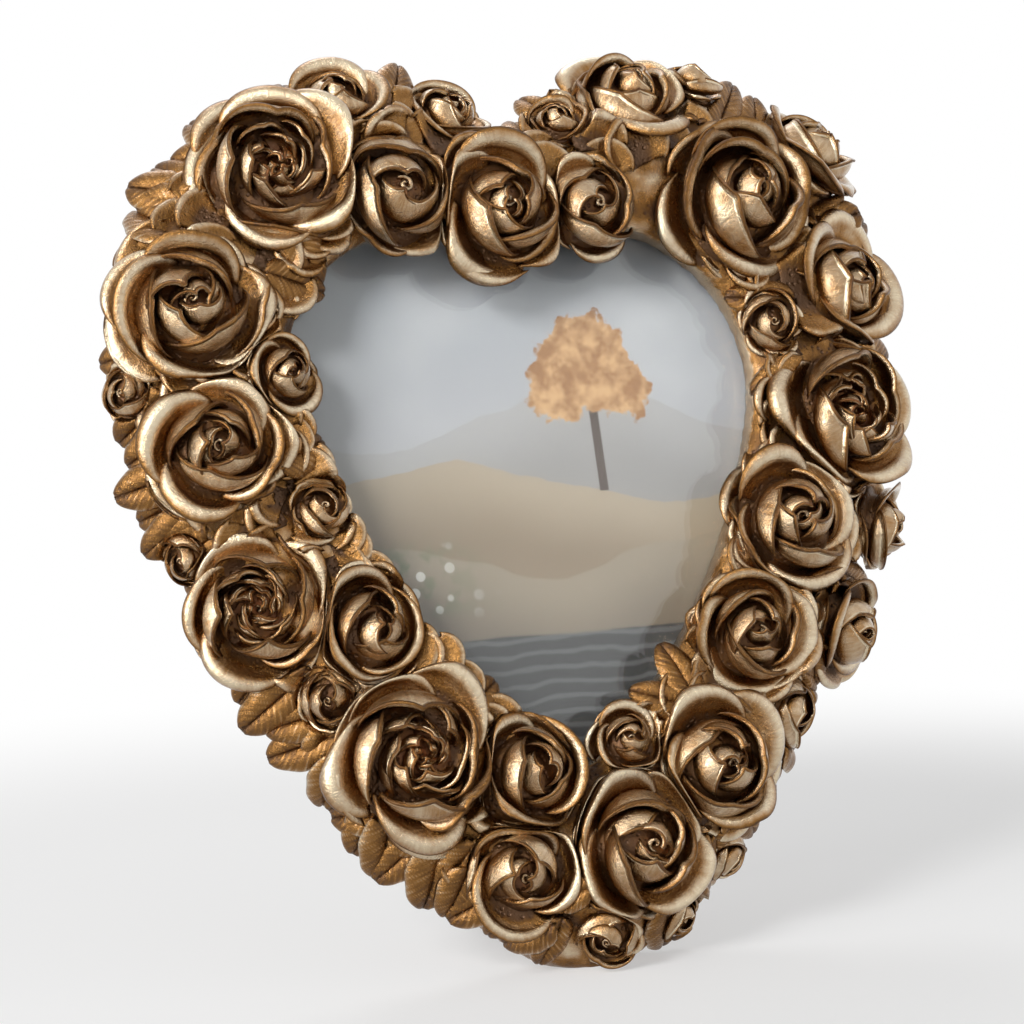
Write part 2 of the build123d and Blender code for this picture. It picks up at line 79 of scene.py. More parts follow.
# A bloom stands at a station along the rail, from 0 at the notch to 1 at the tip, minus on the left.
# Its share is its place across the rail: 0 at the opening, 1 at the outer edge.
Bloom = namedtuple("Bloom", "name station share radius lean turn form")
blooms = (
    Bloom("rose_01", 0.068, 0.84, 6.5, 38, 20, "tight"),
    Bloom("bud_01", 0.106, 0.12, 10.0, -5, 50, "bud"),
    Bloom("rose_02", 0.133, 0.95, 12.5, 36, 10, "classic"),
    Bloom("bud_02", 0.177, 1.18, 7.0, 50, 0, "bud"),
    Bloom("rose_03", 0.259, 0.49, 16.0, 5, 30, "classic"),
    Bloom("rose_04", 0.279, 1.22, 12.0, 46, 15, "classic"),
    Bloom("rose_05", 0.378, 0.90, 13.5, 22, 60, "classic"),
    Bloom("bud_03", 0.380, 0.17, 6.5, -10, 25, "bud"),
    Bloom("rose_06", 0.487, 0.78, 16.5, 14, 5, "open"),
    Bloom("rose_07", 0.602, 0.40, 13.5, 0, 45, "classic"),
    Bloom("rose_08", 0.566, 1.18, 9.0, 48, 30, "tight"),
    Bloom("rose_09", 0.728, 0.38, 12.0, 0, 20, "classic"),
    Bloom("rose_10", 0.652, 1.08, 10.5, 44, 0, "tight"),
    Bloom("bud_04", 0.742, 0.86, 7.5, 46, 40, "bud"),
    Bloom("rose_11", 0.843, 0.56, 13.5, 8, 55, "classic"),
    Bloom("bud_05", 0.858, 1.00, 5.5, 52, 15, "bud"),
    Bloom("rose_12", 0.935, 0.05, 7.0, -10, 35, "tight"),
    Bloom("rose_13", 0.958, 0.47, 14.5, 12, 0, "classic"),
    Bloom("bud_06", 0.920, 0.98, 5.5, 52, 10, "bud"),
    Bloom("bud_07", -0.999, 0.74, 6.5, 50, 30, "bud"),
    Bloom("rose_14", -0.912, 0.72, 11.0, 18, 25, "tight"),
    Bloom("rose_15", -0.908, 0.25, 12.0, -5, 50, "tight"),
    Bloom("rose_16", -0.790, 0.62, 16.0, 5, 15, "open"),
    Bloom("bud_08", -0.705, 0.76, 6.5, 35, 0, "bud"),
    Bloom("rose_17", -0.690, 0.35, 11.0, -8, 40, "tight"),
    Bloom("rose_18", -0.618, 0.83, 13.5, 16, 30, "open"),
    Bloom("bud_09", -0.562, 1.04, 5.0, 52, 20, "bud"),
    Bloom("bud_10", -0.565, 0.17, 6.0, -10, 45, "bud"),
    Bloom("rose_19", -0.491, 0.68, 12.5, 12, 55, "classic"),
    Bloom("bud_11", -0.440, 1.07, 5.5, 52, 10, "bud"),
    Bloom("rose_20", -0.411, 0.08, 7.5, -12, 35, "tight"),
    Bloom("rose_21", -0.374, 0.68, 14.0, 12, 5, "classic"),
    Bloom("rose_22", -0.228, 0.62, 15.0, 10, 25, "open"),
    Bloom("rose_23", -0.128, 0.96, 9.5, 30, 45, "tight"),
    Bloom("bud_12", -0.138, 0.24, 12.0, 0, 15, "bud"),
    Bloom("rose_24", -0.035, 1.06, 9.0, 36, 30, "tight"),
    Bloom("rose_25", -0.018, 0.34, 13.5, -5, 10, "classic"),
)

# One layer of petals, in bloom radii and degrees: its profile runs from a base at foot level out to a
# belly, up to a neck and on to a rim at its reach and height, which rolls outward. Half is half a petal's
# width, tuck its slip under the next one, fall how far its ends sink, point its tip and roll its rim's
# radius.
Layer = namedtuple("Layer", "petals turn base foot belly neck reach height half tuck fall point roll thick")
# The scroll is the wound heart of a bloom, and core the height that the body fills between the petals.
Scroll = namedtuple("Scroll", "reach height turns thick")
Form = namedtuple("Form", "layers scroll core warm_heart")
forms = {
    "classic": Form((
        Layer(5, 20, 0.50, -0.10, 0.80, 0.90, 0.92, -0.02, 46, 0.08, 0.40, 0.08, 0.090, 0.080),
        Layer(4, 0, 0.44, 0.00, 0.68, 0.80, 0.83, 0.21, 62, 0.12, 0.55, 0.07, 0.130, 0.075),
        Layer(3, 35, 0.36, 0.02, 0.70, 0.68, 0.56, 0.41, 76, 0.13, 0.60, 0.12, 0.085, 0.070),
        Layer(3, 80, 0.24, 0.12, 0.52, 0.48, 0.33, 0.53, 76, 0.15, 0.60, 0.18, 0.050, 0.064),
        Layer(2, 15, 0.10, 0.24, 0.34, 0.30, 0.16, 0.57, 108, 0.22, 0.45, 0.18, 0.030, 0.056),
    ), Scroll(0.09, 0.54, 1.0, 0.060), 0.42, 0.3),
    "open": Form((
        Layer(5, 15, 0.50, -0.10, 0.80, 0.90, 0.92, -0.04, 46, 0.08, 0.40, 0.08, 0.090, 0.080),
        Layer(5, 0, 0.45, 0.00, 0.70, 0.82, 0.85, 0.16, 50, 0.11, 0.50, 0.10, 0.115, 0.070),
        Layer(4, 36, 0.40, 0.00, 0.72, 0.74, 0.63, 0.36, 58, 0.13, 0.55, 0.20, 0.060, 0.065),
        Layer(5, 8, 0.30, 0.06, 0.50, 0.51, 0.44, 0.32, 48, 0.18, 0.55, 0.22, 0.034, 0.054),
        Layer(5, 50, 0.22, 0.10, 0.37, 0.37, 0.32, 0.30, 46, 0.22, 0.50, 0.26, 0.026, 0.050),
        Layer(5, 20, 0.14, 0.12, 0.26, 0.26, 0.21, 0.28, 48, 0.26, 0.45, 0.28, 0.022, 0.050),
        Layer(3, 70, 0.06, 0.12, 0.15, 0.15, 0.11, 0.27, 70, 0.30, 0.40, 0.28, 0.020, 0.048),
    ), Scroll(0.05, 0.25, 0.9, 0.045), 0.16, 1.0),
    "tight": Form((
        Layer(5, 30, 0.50, -0.10, 0.80, 0.90, 0.92, 0.00, 48, 0.08, 0.40, 0.08, 0.090, 0.080),
        Layer(3, 0, 0.42, 0.02, 0.72, 0.80, 0.80, 0.26, 78, 0.14, 0.58, 0.08, 0.130, 0.080),
        Layer(3, 50, 0.30, 0.06, 0.64, 0.60, 0.44, 0.48, 76, 0.16, 0.60, 0.16, 0.065, 0.070),
        Layer(2, 10, 0.14, 0.22, 0.42, 0.37, 0.20, 0.59, 110, 0.24, 0.48, 0.18, 0.036, 0.064),
    ), Scroll(0.11, 0.55, 1.0, 0.070), 0.44, 0.4),
    "bud": Form((
        Layer(5, 30, 0.45, -0.10, 0.76, 0.86, 0.90, 0.06, 46, 0.08, 0.40, 0.16, 0.075, 0.085),
        Layer(3, 0, 0.40, 0.02, 0.88, 0.84, 0.66, 0.40, 78, 0.15, 0.58, 0.14, 0.090, 0.080),
        Layer(2, 60, 0.24, 0.14, 0.60, 0.54, 0.32, 0.58, 112, 0.24, 0.50, 0.18, 0.045, 0.070),
    ), Scroll(0.14, 0.55, 1.2, 0.080), 0.42, 0.3),
}
# A loose petal lies in a gap between blooms.
stray = Layer(1, 0, 0.10, -0.10, 0.70, 0.90, 1.00, 0.25, 52, 0.05, 0.40, 0.15, 0.090, 0.120)
# Where along a petal its rim begins to roll, and how far it rolls, in radians
roll_start = 0.58
roll_turn = 2.05
# In bloom radii: the level of the petals' feet, the height at which neighbours press each other, the gap
# and softness of that press, and how far a layer's place and slope may vary
petal_foot = -0.10
bloom_waist = 0.3
press_gap = 0.05
press_softness = 0.22
layer_shift = 0.05
layer_slope = 0.16
# How far a petal may turn from its place, in degrees
petal_jitter = 14
# Blooms beyond a share of the rail stand on stalks of so many radii, the others sink so many millimetres
stalk_share = 0.6
stalk_depth = 0.9
sink_depth = 2.2
# In bloom radii: how far a bloom covers the leaves under it, and the level that they keep below
cover_reach = 1.05
cover_level = -0.14
# Steps along the rail between loose petals and between edge leaves, and what both lose at the tip
filler_step = 0.014
edge_step = 0.022
tip_clearing = 0.4
tip_shrink = 0.4
# Loose petals at the opening and further out: their shares of the rail and their sizes in millimetres
Fill = namedtuple("Fill", "shares sizes")
inner_fill = Fill((0.06, 0.30), (6, 8))
outer_fill = Fill((0.42, 0.90), (7, 10))
# Their slope on the rail's front and on its flank, in degrees, and the share where the flank begins
front_slope = 8
flank_slope = 38
flank_share = 0.66
# How far they run on before and after a group's own leaves
filler_margin = (0.05, 0.05)
wide_margins = {"leaves_top_right": (0.22, 0.05), "leaves_right": (0.05, 0.15)}
# Millimetres kept clear of the floor and of the rail's back, with the softness of the latter
floor_clearance = 0.02
back_clearance = 0.2
back_softness = 1.2

# A leaf lies with its middle at a station and share, and points at a heading measured from outward.
Leaf = namedtuple("Leaf", "station share heading length width tilt")
# Two more close the gap at the upper right, where two roses lean apart.
gap_leaves = (
    Leaf(0.330, 0.98, -5, 20, 12, -10),
    Leaf(0.312, 0.98, 4, 19, 13, -8),
)
leaf_groups = {
    "leaves_top_left": (
        Leaf(-0.075, 1.12, -10, 16, 9, 20),
        Leaf(-0.287, 1.00, 10, 14, 10, 30),
    ),
    "leaves_top_right": (
        Leaf(0.210, 1.14, -10, 17, 9, 20),
        Leaf(0.237, 1.14, 15, 17, 9, 20),
        Leaf(0.343, 1.14, 5, 17, 10, 20),
    ),
    "leaves_right": (
        Leaf(0.436, 1.12, 0, 15, 9, 30),
        Leaf(0.540, 1.05, 25, 13, 8, 35),
        Leaf(0.615, 1.08, 10, 14, 8, 35),
        Leaf(0.800, 0.98, 15, 12, 8, 40),
    ),
    "leaves_left": (
        Leaf(-0.435, 0.98, 40, 11, 7, 40),
        Leaf(-0.506, 1.08, 0, 14, 9, 30),
        Leaf(-0.540, 1.05, 20, 14, 8, 35),
        Leaf(-0.678, 1.02, 10, 14, 9, 35),
        Leaf(-0.716, 1.00, -20, 14, 9, 35),
    ),
    "leaves_lower_left": (
        Leaf(-0.787, 1.00, 25, 14, 10, 35),
        Leaf(-0.820, 1.00, 0, 14, 9, 35),
        Leaf(-0.860, 0.88, 10, 13, 8, 40),
        Leaf(-0.950, 0.90, 20, 11, 7, 40),
    ),
    "leaves_inner_left": (
        Leaf(-0.270, 0.18, 160, 14, 9, 12),
        Leaf(-0.306, 0.12, 200, 13, 8, 12),
        Leaf(-0.503, 0.13, 190, 12, 8, 12),
        Leaf(-0.830, 0.10, 170, 12, 8, 12),
    ),
    "leaves_inner_right": (
        Leaf(0.350, 0.16, 150, 13, 8, 12),
        Leaf(0.445, 0.16, 210, 12, 8, 12),
        Leaf(0.830, 0.06, 150, 13, 8, 12),
        Leaf(0.868, 0.06, 200, 12, 7, 12),
    ),
}


class RoseFrameSizes(bpy.types.PropertyGroup):
    """Sizes of the cast detail and the stage."""

    petal_rows: bpy.props.IntProperty(
        name="Petal Rows", description="Points across each petal", default=31, min=9)
    leaf_thickness: bpy.props.FloatProperty(
        name="Leaf Thickness", description="Thickness of a leaf", default=1.3 * MM, unit="LENGTH")
    vein_depth: bpy.props.FloatProperty(
        name="Vein Depth", description="Depth of a leaf's veins", default=0.20 * MM, unit="LENGTH")
    rail_grain: bpy.props.FloatProperty(
        name="Rail Grain", description="Size of the remeshed rail's faces", default=0.85 * MM,
        unit="LENGTH")
    rail_relief: bpy.props.FloatProperty(
        name="Rail Relief", description="Height of the rail's cast unevenness", default=0.5 * MM,
        unit="LENGTH")
    floor_size: bpy.props.FloatProperty(
        name="Floor Size", description="Width of the floor", default=6.0, unit="LENGTH")
    shadow_reach: bpy.props.FloatProperty(
        name="Shadow Reach", description="Where the floor turns plain white", default=0.34, unit="LENGTH")
    camera_distance: bpy.props.FloatProperty(
        name="Camera Distance", description="From the camera to the heart", default=0.5376, unit="LENGTH")
    camera_lens: bpy.props.FloatProperty(
        name="Camera Lens", description="Focal length in millimetres", default=101.95, unit="CAMERA")


class RoseFrameColours(bpy.types.PropertyGroup):
    """Colours of the finishes."""

    gold: bpy.props.FloatVectorProperty(
        name="Gold", description="Flat faces of the antique gold", default=(0.295, 0.143, 0.038),
        subtype="COLOR", min=0, max=1)
    # Rubbed gold of the rims, whitened as a painted highlight
    rim_highlight_gold: bpy.props.FloatVectorProperty(
        name="Rim Gold", description="Rubbed rims of the antique gold", default=(0.665, 0.560, 0.390),
        subtype="COLOR", min=0, max=1)
    # Dark wash of the crevices, with painted shade
    shade: bpy.props.FloatVectorProperty(
        name="Shade", description="Dark wash in the crevices", default=(0.098, 0.046, 0.018),
        subtype="COLOR", min=0, max=1)
    red_wash: bpy.props.FloatVectorProperty(
        name="Red Wash", description="Reddish wash in the hearts of the open roses",
        default=(0.190, 0.070, 0.024), subtype="COLOR", min=0, max=1)
    velvet: bpy.props.FloatVectorProperty(
        name="Velvet", description="Board of the back and its leg", default=(0.012, 0.012, 0.013),
        subtype="COLOR", min=0, max=1)
    card: bpy.props.FloatVectorProperty(
        name="Card", description="Backing card", default=(0.30, 0.29, 0.27), subtype="COLOR", min=0, max=1)
    zinc: bpy.props.FloatVectorProperty(
        name="Zinc", description="Hinge and turn buttons", default=(0.50, 0.51, 0.52),
        subtype="COLOR", min=0, max=1)
    brass: bpy.props.FloatVectorProperty(
        name="Brass", description="Screws", default=(0.60, 0.43, 0.17), subtype="COLOR", min=0, max=1)
    floor: bpy.props.FloatVectorProperty(
        name="Floor", description="Pale floor", default=(0.93, 0.93, 0.93), subtype="COLOR", min=0, max=1)


class HeartLine:
    """One heart outline of the frame: share 0 is the opening, share 1 the rail's outer edge."""

    def __init__(self, share):
        blend = opening_blend_angle + share * (rail_blend_angle - opening_blend_angle)
        self.blend = math.radians(blend)
        self.spread = opening_lobe_spread + share * lobe_shift
        self.level = share * lobe_shift
        lobe = opening_lobe_radius + share * (rail_width - lobe_shift)
        drop = self.level + opening_depth + share * rail_tip_width
        across = self.spread * math.cos(self.blend) - drop * math.sin(self.blend)
        swing = (self.spread**2 + drop**2 - lobe**2) / (2 * (lobe + across))
        self.side_x = self.spread - swing * math.cos(self.blend)
        self.side_y = self.level + swing * math.sin(self.blend)
        self.lobe_radius = lobe
        self.side_radius = lobe + swing
        self.notch_angle = math.acos(-self.spread / self.lobe_radius)
        self.tip_angle = -math.acos(-self.side_x / self.side_radius)
        self.lobe_length = self.lobe_radius * (self.notch_angle + self.blend)
        self.side_length = self.side_radius * (-self.blend - self.tip_angle)

    def place(self, station):
        """Point at a station, and the outward direction there."""
        side = -1 if station < 0 else 1
        run = abs(station) * (self.lobe_length + self.side_length)
        if run <= self.lobe_length:
            angle = self.notch_angle - run / self.lobe_radius
            middle, radius = (self.spread, self.level), self.lobe_radius
        else:
            angle = -self.blend - (run - self.lobe_length) / self.side_radius
            middle, radius = (self.side_x, self.side_y), self.side_radius
        outward = np.array([side * math.cos(angle), math.sin(angle), 0.0])
        return np.array([side * middle[0], middle[1], 0.0]) + outward * radius, outward


def seat_height(share):
    """Height of the rail's front under a share of its width."""
    slope = (1 - share) * rail_width / flank_width
    return skirt_height + (rail_thickness - skirt_height) * min(max(slope, 0), 1)


# The frame's own plane: across, up along the lean, and out of the front
plane_axes = np.array([
    (1, 0, 0),
    (0, math.sin(lean_back), math.cos(lean_back)),
    (0, -math.cos(lean_back), math.sin(lean_back)),
])
hinge_place = np.array(frame["joints"][0]["pos_m"])


def stand_up(points):
    """Points of the frame's own plane, in millimetres, to where the frame stands, in metres."""
    return hinge_place + (points - (0, hinge_level, hinge_height)) @ plane_axes * MM


def lie_down(points):
    """The reverse of stand_up."""
    return (points - hinge_place) @ plane_axes.T / MM + (0, hinge_level, hinge_height)


def smooth(low, high, value):
    """A smooth step from 0 at low to 1 at high."""
    share = np.clip((value - low) / (high - low), 0, 1)
    return share * share * (3 - 2 * share)


# A skin is a piece of mesh in the making: points, quads, a level of patina and painted light (0 in a
# crevice, where the dark wash lies with painted shade, 1 on a rim, rubbed gold with a painted highlight)
# and brush, the coordinates that the brush marks follow.
Skin = namedtuple("Skin", "points quads relief brush")


def thicken(sheet, thick, relief, brush, inner_shade_share=1.0):
    """A closed skin of some thickness round a grid of points; its inner side takes a share of the level of
    patina and painted light, so that a share below one is a painted shade on the inside.
    """
    rows, columns = sheet.shape[:2]
    normal = np.cross(np.gradient(sheet, axis=0), np.gradient(sheet, axis=1))
    normal /= np.linalg.norm(normal, axis=2, keepdims=True) + 1e-12
    offset = normal * thick[..., None] / 2
    points = np.concatenate([(sheet + offset).reshape(-1, 3), (sheet - offset).reshape(-1, 3)])
    index = np.arange(rows * columns).reshape(rows, columns)
    front = np.stack([index[:-1, :-1], index[1:, :-1], index[1:, 1:], index[:-1, 1:]], -1).reshape(-1, 4)
    back = front[:, ::-1] + rows * columns
    border = np.concatenate([index[:, 0], index[-1, 1:], index[-2::-1, -1], index[0, -2:0:-1]])
    following = np.roll(border, -1)
    wall = np.stack([following, border, border + rows * columns, following + rows * columns], -1)
    quads = np.concatenate([front, back, wall])
    both_sides = np.concatenate([relief.ravel(), inner_shade_share * relief.ravel()])
    return Skin(points, quads, both_sides, np.tile(brush.reshape(-1, 3), (2, 1)))


def gather(skins):
    """Several skins as one."""
    starts = np.cumsum([0] + [len(skin.points) for skin in skins[:-1]])
    return Skin(
        np.concatenate([skin.points for skin in skins]),
        np.concatenate([skin.quads + start for skin, start in zip(skins, starts)]),
        np.concatenate([skin.relief for skin in skins]),
        np.concatenate([skin.brush for skin in skins]),
    )


def bezier(stops, along):
    """Points of a cubic curve, and its direction there as an angle."""
    share = along[..., None]
    rest = 1 - share
    first, second, third, last = np.array(stops)
    points = rest**3 * first + 3 * rest**2 * share * second + 3 * rest * share**2 * third + share**3 * last
    course = rest**2 * (second - first) + 2 * rest * share * (third - second) + share**2 * (last - third)
    return points, np.arctan2(course[..., 1], course[..., 0])


def petal_skin(layer, turn, rng, rows):
    """One petal of a layer, in bloom radii: cupped, with a rim rolled outward that thins to sunken ends."""
    across = np.linspace(-1, 1, rows)
    along = np.linspace(0, 1, rows * 3 // 4)
    s, t = np.meshgrid(across, along, indexing="ij")
    longer, taller, wider, aside, wave_out, tighter, wave_up, sharper, fuller = rng.uniform(-1, 1, 9)
    reach = layer.reach * (1 + 0.08 * longer)
    height = layer.height + 0.05 * taller
    half = math.radians(layer.half) * (1 + 0.16 * wider)
    middle = 0.2 * aside
    bow = np.clip(1 - np.abs(s - middle) ** 2.2, 0, 1)
    tip = layer.point * (1 + 0.5 * sharper) * np.clip(1 - np.abs(s - middle) / 0.6, 0, 1) ** 1.4
    rise = np.clip(t / roll_start, 0, 1)
    lift = rise * (1 - layer.fall * np.abs(s) ** 2.8 + tip)
    stops = (
        (layer.base, layer.foot),
        (layer.belly, layer.foot + 0.1 * (height - layer.foot)),
        (layer.neck, layer.foot + 0.7 * (height - layer.foot)),
        (reach, height),
    )
    profile, course = bezier(stops, lift)
    rolled = np.clip((t - roll_start) / (1 - roll_start), 0, 1)
    roll = layer.roll * (1 + 0.3 * fuller) * (0.15 + 0.85 * bow)
    turned = roll_turn * (0.45 + 0.55 * bow) * rolled
    radius = profile[..., 0] + roll * (np.sin(course) - np.sin(course - turned))
    level = profile[..., 1] + roll * (np.cos(course - turned) - np.cos(course))
    radius = radius * (1 + layer.tuck * (1 + 0.3 * tighter) * s)
    radius = radius + 0.02 * np.sin(3.1 * s + 3 * wave_out) * lift**2
    level = level + 0.03 * np.sin(2.3 * s + 3 * wave_up) * lift**2
    angle = turn + half * s * (0.72 + 0.28 * t)
    sheet = np.stack([radius * np.cos(angle), radius * np.sin(angle), level], -1)
    thick = layer.thick * (1 - 0.55 * smooth(0.8, 1, t)) * (1 - 0.6 * np.abs(s) ** 6)
    # Painted light: the level is low at the petal's foot, where the dark wash lies with painted shade among
    # the petals, high along the top of the roll as a painted highlight on rubbed gold, and lower again at
    # the roll's end as painted shade; the inner side is darker still, a painted shade in the cup.
    ridge = np.exp(-(((rolled - 0.42) / 0.34) ** 2)) * (0.3 + 0.7 * bow) * (t > roll_start / 2)
    relief = 0.05 + 0.48 * smooth(0.1, 0.75, rise) + 0.47 * ridge
    relief = relief * (1 - 0.5 * smooth(0.75, 1, rolled))
    brush = np.stack([half * reach * s, 0.12 * t, np.full(s.shape, 7 * turn + layer.reach)], -1)
    return thicken(sheet, thick, relief, brush, inner_shade_share=0.85)


def scroll_skin(scroll, turn):
    """The rolled heart of a bloom, in bloom radii: one strip wound into a spiral."""
    sweep = scroll.turns * 2 * math.pi
    a, t = np.meshgrid(np.linspace(0, sweep, 80), np.linspace(0, 1, 14), indexing="ij")
    share = a / sweep
    radius = scroll.reach * (0.12 + 0.88 * share) * (0.84 + 0.22 * t**3)
    level = petal_foot + (scroll.height - 0.07 * share - 0.015 * np.sin(1.5 * a) - petal_foot) * t
    sheet = np.stack([radius * np.cos(a + turn), radius * np.sin(a + turn), level], -1)
    edge = np.sqrt(np.clip(1 - smooth(0.9, 1.0, t) ** 2 * 0.8, 0.1, 1)) * (1 - 0.7 * smooth(0.92, 1, share))
    # Darker at the scroll's foot, dark wash with painted shade deep in the heart, and lighter at its top
    # edge, rubbed gold with a painted highlight.
    relief = 0.10 + 0.55 * smooth(0.45, 1.0, t)
    brush = np.stack([scroll.reach * a, 0.12 * t, np.full(a.shape, turn)], -1)
    return thicken(sheet, scroll.thick * edge, relief, brush)


def calyx_skin(depth, core):
    """The body under the petals, in bloom radii: a bulb on a stalk of some depth, domed up to its core."""
    dome = np.linspace(0, math.pi / 2, 7)[:-1]
    profile = np.array([
        (0.02, -depth), (0.30, -depth), (0.44, -0.60 * depth), (0.62, -0.30 * depth - 0.02),
        (0.76, -0.13), (0.80, -0.05), *zip(0.62 * np.cos(dome), core * np.sin(dome)), (0.02, core),
    ])
    sides = 40
    angle = np.linspace(0, 2 * math.pi, sides, endpoint=False)
    flutes = 1 + 0.05 * np.cos(5 * angle)
    rings = np.stack([
        profile[:, :1] * np.cos(angle) * flutes,
        profile[:, :1] * np.sin(angle) * flutes,
        np.broadcast_to(profile[:, 1:], (len(profile), sides)),
    ], -1)
    index = np.arange(len(profile) * sides).reshape(len(profile), sides)
    following = np.roll(index, -1, axis=1)
    wall = np.stack([index[:-1], following[:-1], following[1:], index[1:]], -1).reshape(-1, 4)
    points = rings.reshape(-1, 3)
    # The body under the petals is dark all over: dark wash with painted shade, where it lies deep among the
    # petals.
    return Skin(points, wall, np.full(len(points), 0.16), points * 0.5)


def bloom_axes(bloom):
    """A bloom's foot and its three directions in the frame's own plane."""
    point, outward = HeartLine(bloom.share).place(bloom.station)
    tilt = math.radians(bloom.lean)
    axis = outward * math.sin(tilt) + np.array([0, 0, math.cos(tilt)])
    along = np.array([-outward[1], outward[0], 0])
    foot = point + np.array([0, 0, seat_height(bloom.share)])
    return foot, np.array([along, np.cross(axis, along), axis])


def press(points, middle, toward, limit, softness):
    """Points pushed back so that none passes a limit in one direction, without a hard edge."""
    reach = (points - middle) @ toward
    start = limit - softness
    over = np.maximum(reach - start, 0)
    pushed = softness * (1 - np.exp(-over / softness))
    return points + np.outer(pushed - over, toward)


def press_to_neighbours(points, bloom):
    """Petals pressed back where the next bloom begins."""
    foot, axes = bloom_axes(bloom)
    middle = foot + axes[2] * bloom.radius * bloom_waist
    for other in blooms:
        other_foot, other_axes = bloom_axes(other)
        apart = other_foot + other_axes[2] * other.radius * bloom_waist - middle
        distance = np.linalg.norm(apart)
        if other is bloom or distance > bloom.radius + other.radius:
            continue
        limit = (distance**2 + bloom.radius**2 - other.radius**2) / (2 * distance)
        limit = limit + press_gap * bloom.radius
        points = press(points, middle, apart / distance, limit, press_softness * bloom.radius)
    return points


def keep_off_back(points):
    """Points pressed forward so that none passes the rail's back."""
    return press(points, np.zeros(3), np.array([0, 0, -1.0]), -back_clearance, back_softness)


def bloom_skin(bloom, rows):
    """A whole bloom, in the frame's own plane and in millimetres."""
    number = blooms.index(bloom)
    rng = np.random.default_rng(number + 17)
    form = forms[bloom.form]
    on_stalk = bloom.share > stalk_share
    depth = stalk_depth if on_stalk else min(stalk_depth, sink_depth / bloom.radius)
    skins = [calyx_skin(depth, form.core)]
    for layer in form.layers:
        shift = rng.uniform(-layer_shift, layer_shift, 2)
        tilt = rng.uniform(-layer_slope, layer_slope, 2)
        for petal in range(layer.petals):
            turn = math.radians(layer.turn + rng.uniform(-petal_jitter, petal_jitter))
            turn = turn + 2 * math.pi * petal / layer.petals
            loose = petal_skin(layer, turn, rng, rows)
            rise = (loose.points[:, :2] @ tilt)[:, None] * (loose.points[:, 2:] > petal_foot)
            loose.points[:] = loose.points + np.hstack([np.tile(shift, (len(rise), 1)), rise])
            skins.append(loose)
    skins.append(scroll_skin(form.scroll, rng.uniform(0, 2 * math.pi)))
    skin = gather(skins)
    spin = math.radians(bloom.turn)
    turned = skin.points @ np.array([
        (math.cos(spin), math.sin(spin), 0),
        (-math.sin(spin), math.cos(spin), 0),
        (0, 0, 1),
    ])
    from_axis = np.hypot(skin.points[:, 0], skin.points[:, 1])
    warmth = form.warm_heart * (1 - smooth(0.12, 0.42, from_axis))
    foot, axes = bloom_axes(bloom)
    points = foot + turned * bloom.radius @ axes
    points = keep_off_back(press_to_neighbours(points, bloom))
    return Skin(points, skin.quads, skin.relief, skin.brush * bloom.radius), warmth


def tuck_under(points):
    """Points of leaves and loose petals, lowered where a bloom stands over them."""
    for bloom in blooms:
        foot, axes = bloom_axes(bloom)
        across, along, level = ((points - foot) @ axes.T / bloom.radius).T
        from_axis = np.hypot(across, along)
        limit = cover_level + 0.6 * smooth(0.78, cover_reach, from_axis)
        over = np.where(from_axis < cover_reach, np.maximum(level - limit, 0), 0)
        points = points - np.outer(over * bloom.radius, axes[2])
    return points


def settle(points, station, share, heading, tilt):
    """Points of a leaf or loose petal, moved to their place on the rail and tucked under the blooms."""
    point, outward = HeartLine(share).place(station)
    facing = math.atan2(outward[1], outward[0]) + math.radians(heading)
    seat = Matrix.Translation((point[0], point[1], seat_height(share)))
    place = seat @ Matrix.Rotation(facing, 4, "Z") @ Matrix.Rotation(math.radians(tilt), 4, "Y")
    return keep_off_back(tuck_under(points @ np.array(place.to_3x3()).T + np.array(place.translation)))


def leaf_skin(leaf, sizes, rng):
    """One leaf in the frame's own plane: folded along its rib, veined, with a curled tip."""
    rows, columns = 45, 25
    along, across = np.linspace(0, 1, rows), np.linspace(-1, 1, columns)
    t, s = np.meshgrid(along, across, indexing="ij")
    bend = rng.uniform(0.6, 1.4)
    outline = np.sin(np.pi * t**0.85) ** 0.42 * (1 - 0.1 * t)
    wave = 1 + 0.03 * np.sin(17 * t + 40 * bend) * np.abs(s) ** 3
    x = (t - 0.5) * leaf.length
    y = s * outline * wave * leaf.width / 2
    slant = 10 * t - 3.0 * np.abs(s)
    vein = np.cos(2 * np.pi * slant)
    rib = np.exp(-((s * outline / 0.08) ** 2))
    depth = sizes.vein_depth / MM
    bulge = 0.9 * (1 - (2 * np.abs(s) - 0.9) ** 2) * outline
    z = bulge - 0.9 * bend * (2 * t - 1) ** 2 * np.sign(t - 0.4)
    z = z + depth * (0.10 * vein - 1.8 * rib) * (1 - np.abs(s) ** 8)
    sheet = np.stack([x, y, z + 0.8], -1)
    # Painted light with the wash: lighter along the vein crests and at the edges, painted highlights on
    # rubbed gold, darker in the rib's groove, dark wash with painted shade, and darker towards the narrow
    # ends.
    vein_highlight = np.clip(vein, 0, 1) ** 6
    relief = 0.33 + 0.24 * vein_highlight - 0.30 * rib + 0.34 * np.abs(s) ** 6 - 0.2 * (1 - outline)
    brush = np.stack([slant * 1.3, 0.15 * y, np.full(x.shape, leaf.station * 50)], -1)
    thick = sizes.leaf_thickness / MM * (0.55 + 0.45 * outline) * (1 - 0.5 * np.abs(s) ** 5)
    skin = thicken(sheet, thick, np.clip(relief, 0, 1), brush)
    points = settle(skin.points, leaf.station, leaf.share, leaf.heading, leaf.tilt)
    return Skin(points, skin.quads, skin.relief, skin.brush)


def filler_places(name, step):
    """Stations for small leaves and loose petals along a group of leaves and a little beyond it."""
    stations = [leaf.station for leaf in leaf_groups[name]]
    before, after = wide_margins.get(name, filler_margin)
    return np.arange(min(stations) - before, max(stations) + after, step)


